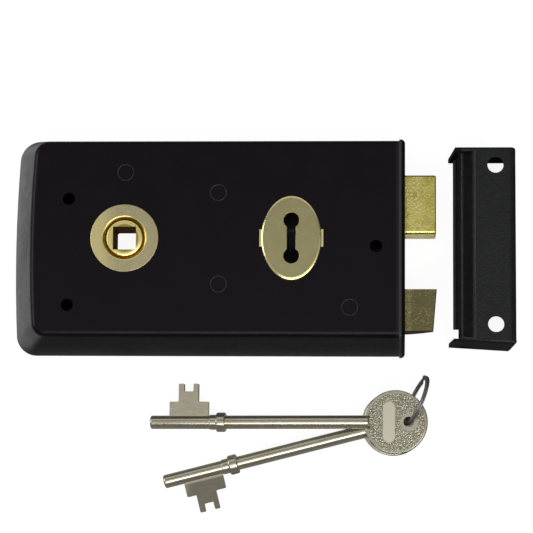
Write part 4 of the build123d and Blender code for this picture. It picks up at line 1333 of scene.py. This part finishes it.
def area_lamp(name, place, aim, size, power):
    """A soft rectangular lamp that faces a point."""
    data = bpy.data.lights.new(name, "AREA")
    data.shape = "RECTANGLE"
    data.size, data.size_y = size
    data.energy = power
    lamp = bpy.data.objects.new(name, data)
    lamp.location = place
    lamp.rotation_euler = (Vector(aim) - Vector(place)).to_track_quat("-Z", "Y").to_euler()
    bpy.context.scene.collection.objects.link(lamp)


def within_box(tree, x, y, low, high):
    """1 where a point of the table lies in an upright rectangle, else 0."""
    right_of = maths(tree, "GREATER_THAN", x, low.x)
    left_of = maths(tree, "LESS_THAN", x, high.x)
    above = maths(tree, "GREATER_THAN", y, low.y)
    below = maths(tree, "LESS_THAN", y, high.y)
    return times(tree, right_of, left_of, above, below)


def within_disc(tree, x, y, centre, radius):
    """1 where a point of the table lies in a circle, else 0."""
    dx, dy = minus(tree, x, centre.x), minus(tree, y, centre.y)
    square = plus(tree, times(tree, dx, dx), times(tree, dy, dy))
    return maths(tree, "LESS_THAN", square, radius * radius)


# How far inside the back plate's edges the table goes dark, and at the fore-end
lock_inset = 6 * MM
fore_end_inset = 3 * MM


def hidden_under(tree, x, y, under, settings):
    """Where the table is dark: under the lock except below its hub, where a painted patch of light stays
    white, and in the ring hole under the bows.
    """
    hub = within_disc(tree, x, y, follower_centre, settings.hub_light)
    reach = 12.0 * MM
    bows_near = add_node(tree, "ShaderNodeAmbientOcclusion", "bows near", samples=8, Distance=reach)
    covered = ranged(tree, bows_near.outputs["AO"], 0.5, 0.8, 1.0, 0.0)
    ring_hole = within_disc(tree, x, y, joint_place("lower_key_swing"), settings.ring_dark)
    return maths(tree, "MAXIMUM", times(tree, under, inverse(tree, hub)), times(tree, ring_hole, covered))


def tone_in_gloss(tree, x, y, under, settings):
    """Painted reflections: how pale the table looks in enamel and metal, place by place, as if cards were
    laid on it.
    """
    card_blur, foot_blur, keys_blur = 4 * MM, 3 * MM, 6 * MM
    keep_margin = 1.5 * MM
    foot_gain, past_share, shade_share = 3, 0.6, 0.85
    plain = settings.table_in_gloss
    case_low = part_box("case")[0]
    edge, foot = case_low.x, case_low.y
    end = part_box("fore_end")[1].x
    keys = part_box("upper_key_bow")[1].y
    near = ranged(tree, x, edge - settings.painted_reflection_run, edge, settings.painted_reflection_far, settings.painted_reflection_near)
    beside = ranged(tree, y, foot - foot_blur, foot, plain, plain * foot_gain)
    by_keys = ranged(tree, y, keys - keys_blur, keys, settings.keys_in_gloss - plain, 0.0)
    beside = plus(tree, beside, by_keys)
    past = maths(tree, "GREATER_THAN", x, end)
    beside = plus(tree, beside, times(tree, past, minus(tree, plain * past_share, beside)))
    bolts_low = Vector((end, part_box("back_plate")[0].y + lock_inset, 0.0))
    bolts_high = Vector((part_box("keep")[0].x - keep_margin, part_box("deadbolt")[0].y, 0.0))
    bolts = within_box(tree, x, y, bolts_low, bolts_high)
    beside = plus(tree, beside, times(tree, bolts, settings.bolts_in_gloss))
    shaded = maths(tree, "MAXIMUM", under, within_box(tree, x, y, *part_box("keep")))
    beside = times(tree, beside, inverse(tree, times(tree, shaded, shade_share)))
    return ranged(tree, x, edge, edge + card_blur, near, beside)


def table_material(name, settings):
    """A white table with a faint shadow, dark under the lock except for a painted patch of light below the
    hub, and with painted reflections, pale in gloss by the sloping end.
    """
    material = bpy.data.materials.new(name)
    material.use_nodes = True
    tree = material.node_tree
    inputs = tree.nodes["Principled BSDF"].inputs
    inputs["Roughness"].default_value = 0.9
    inputs["Specular IOR Level"].default_value = 0.0
    inputs["Emission Strength"].default_value = 1.0
    rays = tree.nodes.new("ShaderNodeLightPath").outputs
    x, y, _ = axes_of(tree, tree.nodes.new("ShaderNodeTexCoord").outputs["Object"])
    low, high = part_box("back_plate")
    low = low + Vector((lock_inset, lock_inset, 0.0))
    high = high - Vector((fore_end_inset, lock_inset, 0.0))
    under = within_box(tree, x, y, low, high)
    shut = hidden_under(tree, x, y, under, settings)
    tone = tone_in_gloss(tree, x, y, under, settings)
    seen = maths(tree, "MAXIMUM", rays["Is Camera Ray"], rays["Is Transmission Ray"])
    shown = times(tree, seen, settings.table_shade, inverse(tree, shut))
    level = maths(tree, "MAXIMUM", shown, times(tree, rays["Is Glossy Ray"], tone))
    unlit = times(tree, seen, settings.table_white - settings.table_lit)
    matte = times(tree, minus(tree, settings.table_white, unlit), inverse(tree, rays["Is Glossy Ray"]))
    for value, socket in ((level, "Emission Color"), (matte, "Base Color")):
        join(tree, vector_of(tree, value, value, value), inputs[socket])
    return material


class RIMLOCK_OT_stage(bpy.types.Operator):
    """Makes the white table, the soft lamps and the camera."""

    bl_idname = "rimlock.stage"
    bl_label = "Stage"

    def execute(self, context):
        settings = context.scene.rimlock_stage
        half = settings.table_size / 2
        clearance = 0.3 * MM
        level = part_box("case")[0].z - clearance
        mesh = bpy.data.meshes.new("table")
        corners = [(x, y, level) for x, y in ((-half, -half), (half, -half), (half, half), (-half, half))]
        mesh.from_pydata(corners, [], [(0, 1, 2, 3)])
        table = bpy.data.objects.new("table", mesh)
        context.scene.collection.objects.link(table)
        mesh.materials.append(table_material("white_table", settings))
        world = bpy.data.worlds.new("room")
        context.scene.world = world
        world.use_nodes = True
        tree = world.node_tree
        sky = tree.nodes["Background"]
        rays = tree.nodes.new("ShaderNodeLightPath").outputs
        join(tree, maths(tree, "MAXIMUM", rays["Is Camera Ray"], settings.room_level), sky.inputs["Strength"])
        sky.inputs["Color"].default_value = (1.0, 1.0, 1.0, 1.0)
        # Each lamp: where it hangs, the point that it faces, its two sides and its power
        area_lamp("top_lamp", (0.0, -0.01, 1.5), (0.0, -0.01, 0.0), (2.4, 0.62), settings.top_lamp)
        area_lamp("back_lamp", (0.0, 0.89, 0.95), (0.0, 0.0, 0.0), (2.4, 0.84), settings.back_lamp)
        area_lamp("strip_lamp", (0.35, -0.45, 0.85), (0.35, -0.03, 0.01), (1.2, 0.4), settings.strip_lamp)
        area_lamp("side_lamp", (-0.85, 0.12, 0.42), (-0.02, 0.0, 0.01), (0.5, 0.4), settings.side_lamp)
        scene = context.scene
        scene.view_settings.view_transform = "Standard"
        data = bpy.data.cameras.new("camera")
        data.lens = settings.camera_lens
        data.sensor_width = 36.0
        data.clip_start = 0.01
        camera = bpy.data.objects.new("camera", data)
        camera.location = settings.camera_place
        camera.rotation_euler = settings.camera_turn
        scene.collection.objects.link(camera)
        scene.camera = camera
        return {"FINISHED"}


class RIMLOCK_PT_panel(bpy.types.Panel):
    """Lists the steps that dress the lock."""

    bl_label = "Rim lock"
    bl_idname = "RIMLOCK_PT_panel"
    bl_space_type = "VIEW_3D"
    bl_region_type = "UI"
    bl_category = "Rim lock"

    def draw(self, context):
        for operator in steps:
            self.layout.operator(operator.bl_idname)
        for name in settings_groups:
            box = self.layout.box()
            box.label(text=name.replace("rimlock_", "").replace("_", " ").capitalize())
            group = getattr(context.scene, name)
            for key in group.bl_rna.properties.keys():
                if key not in ("rna_type", "name"):
                    box.prop(group, key)


settings_groups = {
    "rimlock_stage": StageSettings,
    "rimlock_enamel": EnamelSettings,
    "rimlock_brass": BrassSettings,
    "rimlock_steel": SteelSettings,
    "rimlock_rivets": RivetSettings,
    "rimlock_screws": ScrewSettings,
    "rimlock_latch_spring": LatchSpringSettings,
    "rimlock_split_ring": SplitRingSettings,
}
steps = [
    RIMLOCK_OT_case,
    RIMLOCK_OT_rivets,
    RIMLOCK_OT_works,
    RIMLOCK_OT_follower,
    RIMLOCK_OT_escutcheon,
    RIMLOCK_OT_bolts,
    RIMLOCK_OT_keep,
    RIMLOCK_OT_keys,
    RIMLOCK_OT_split_ring,
    RIMLOCK_OT_stage,
]


def register():
    for group in settings_groups.values():
        bpy.utils.register_class(group)
    for name, group in settings_groups.items():
        setattr(bpy.types.Scene, name, PointerProperty(type=group))
    for operator in steps:
        bpy.utils.register_class(operator)
    bpy.utils.register_class(RIMLOCK_PT_panel)


def unregister():
    bpy.utils.unregister_class(RIMLOCK_PT_panel)
    for operator in reversed(steps):
        bpy.utils.unregister_class(operator)
    for name in settings_groups:
        delattr(bpy.types.Scene, name)
    for group in reversed(list(settings_groups.values())):
        bpy.utils.unregister_class(group)


def main():
    """Dresses the lock step by step."""
    register()
    for operator in steps:
        group, name = operator.bl_idname.split(".")
        getattr(getattr(bpy.ops, group), name)()


if __name__ == "__main__":
    main()
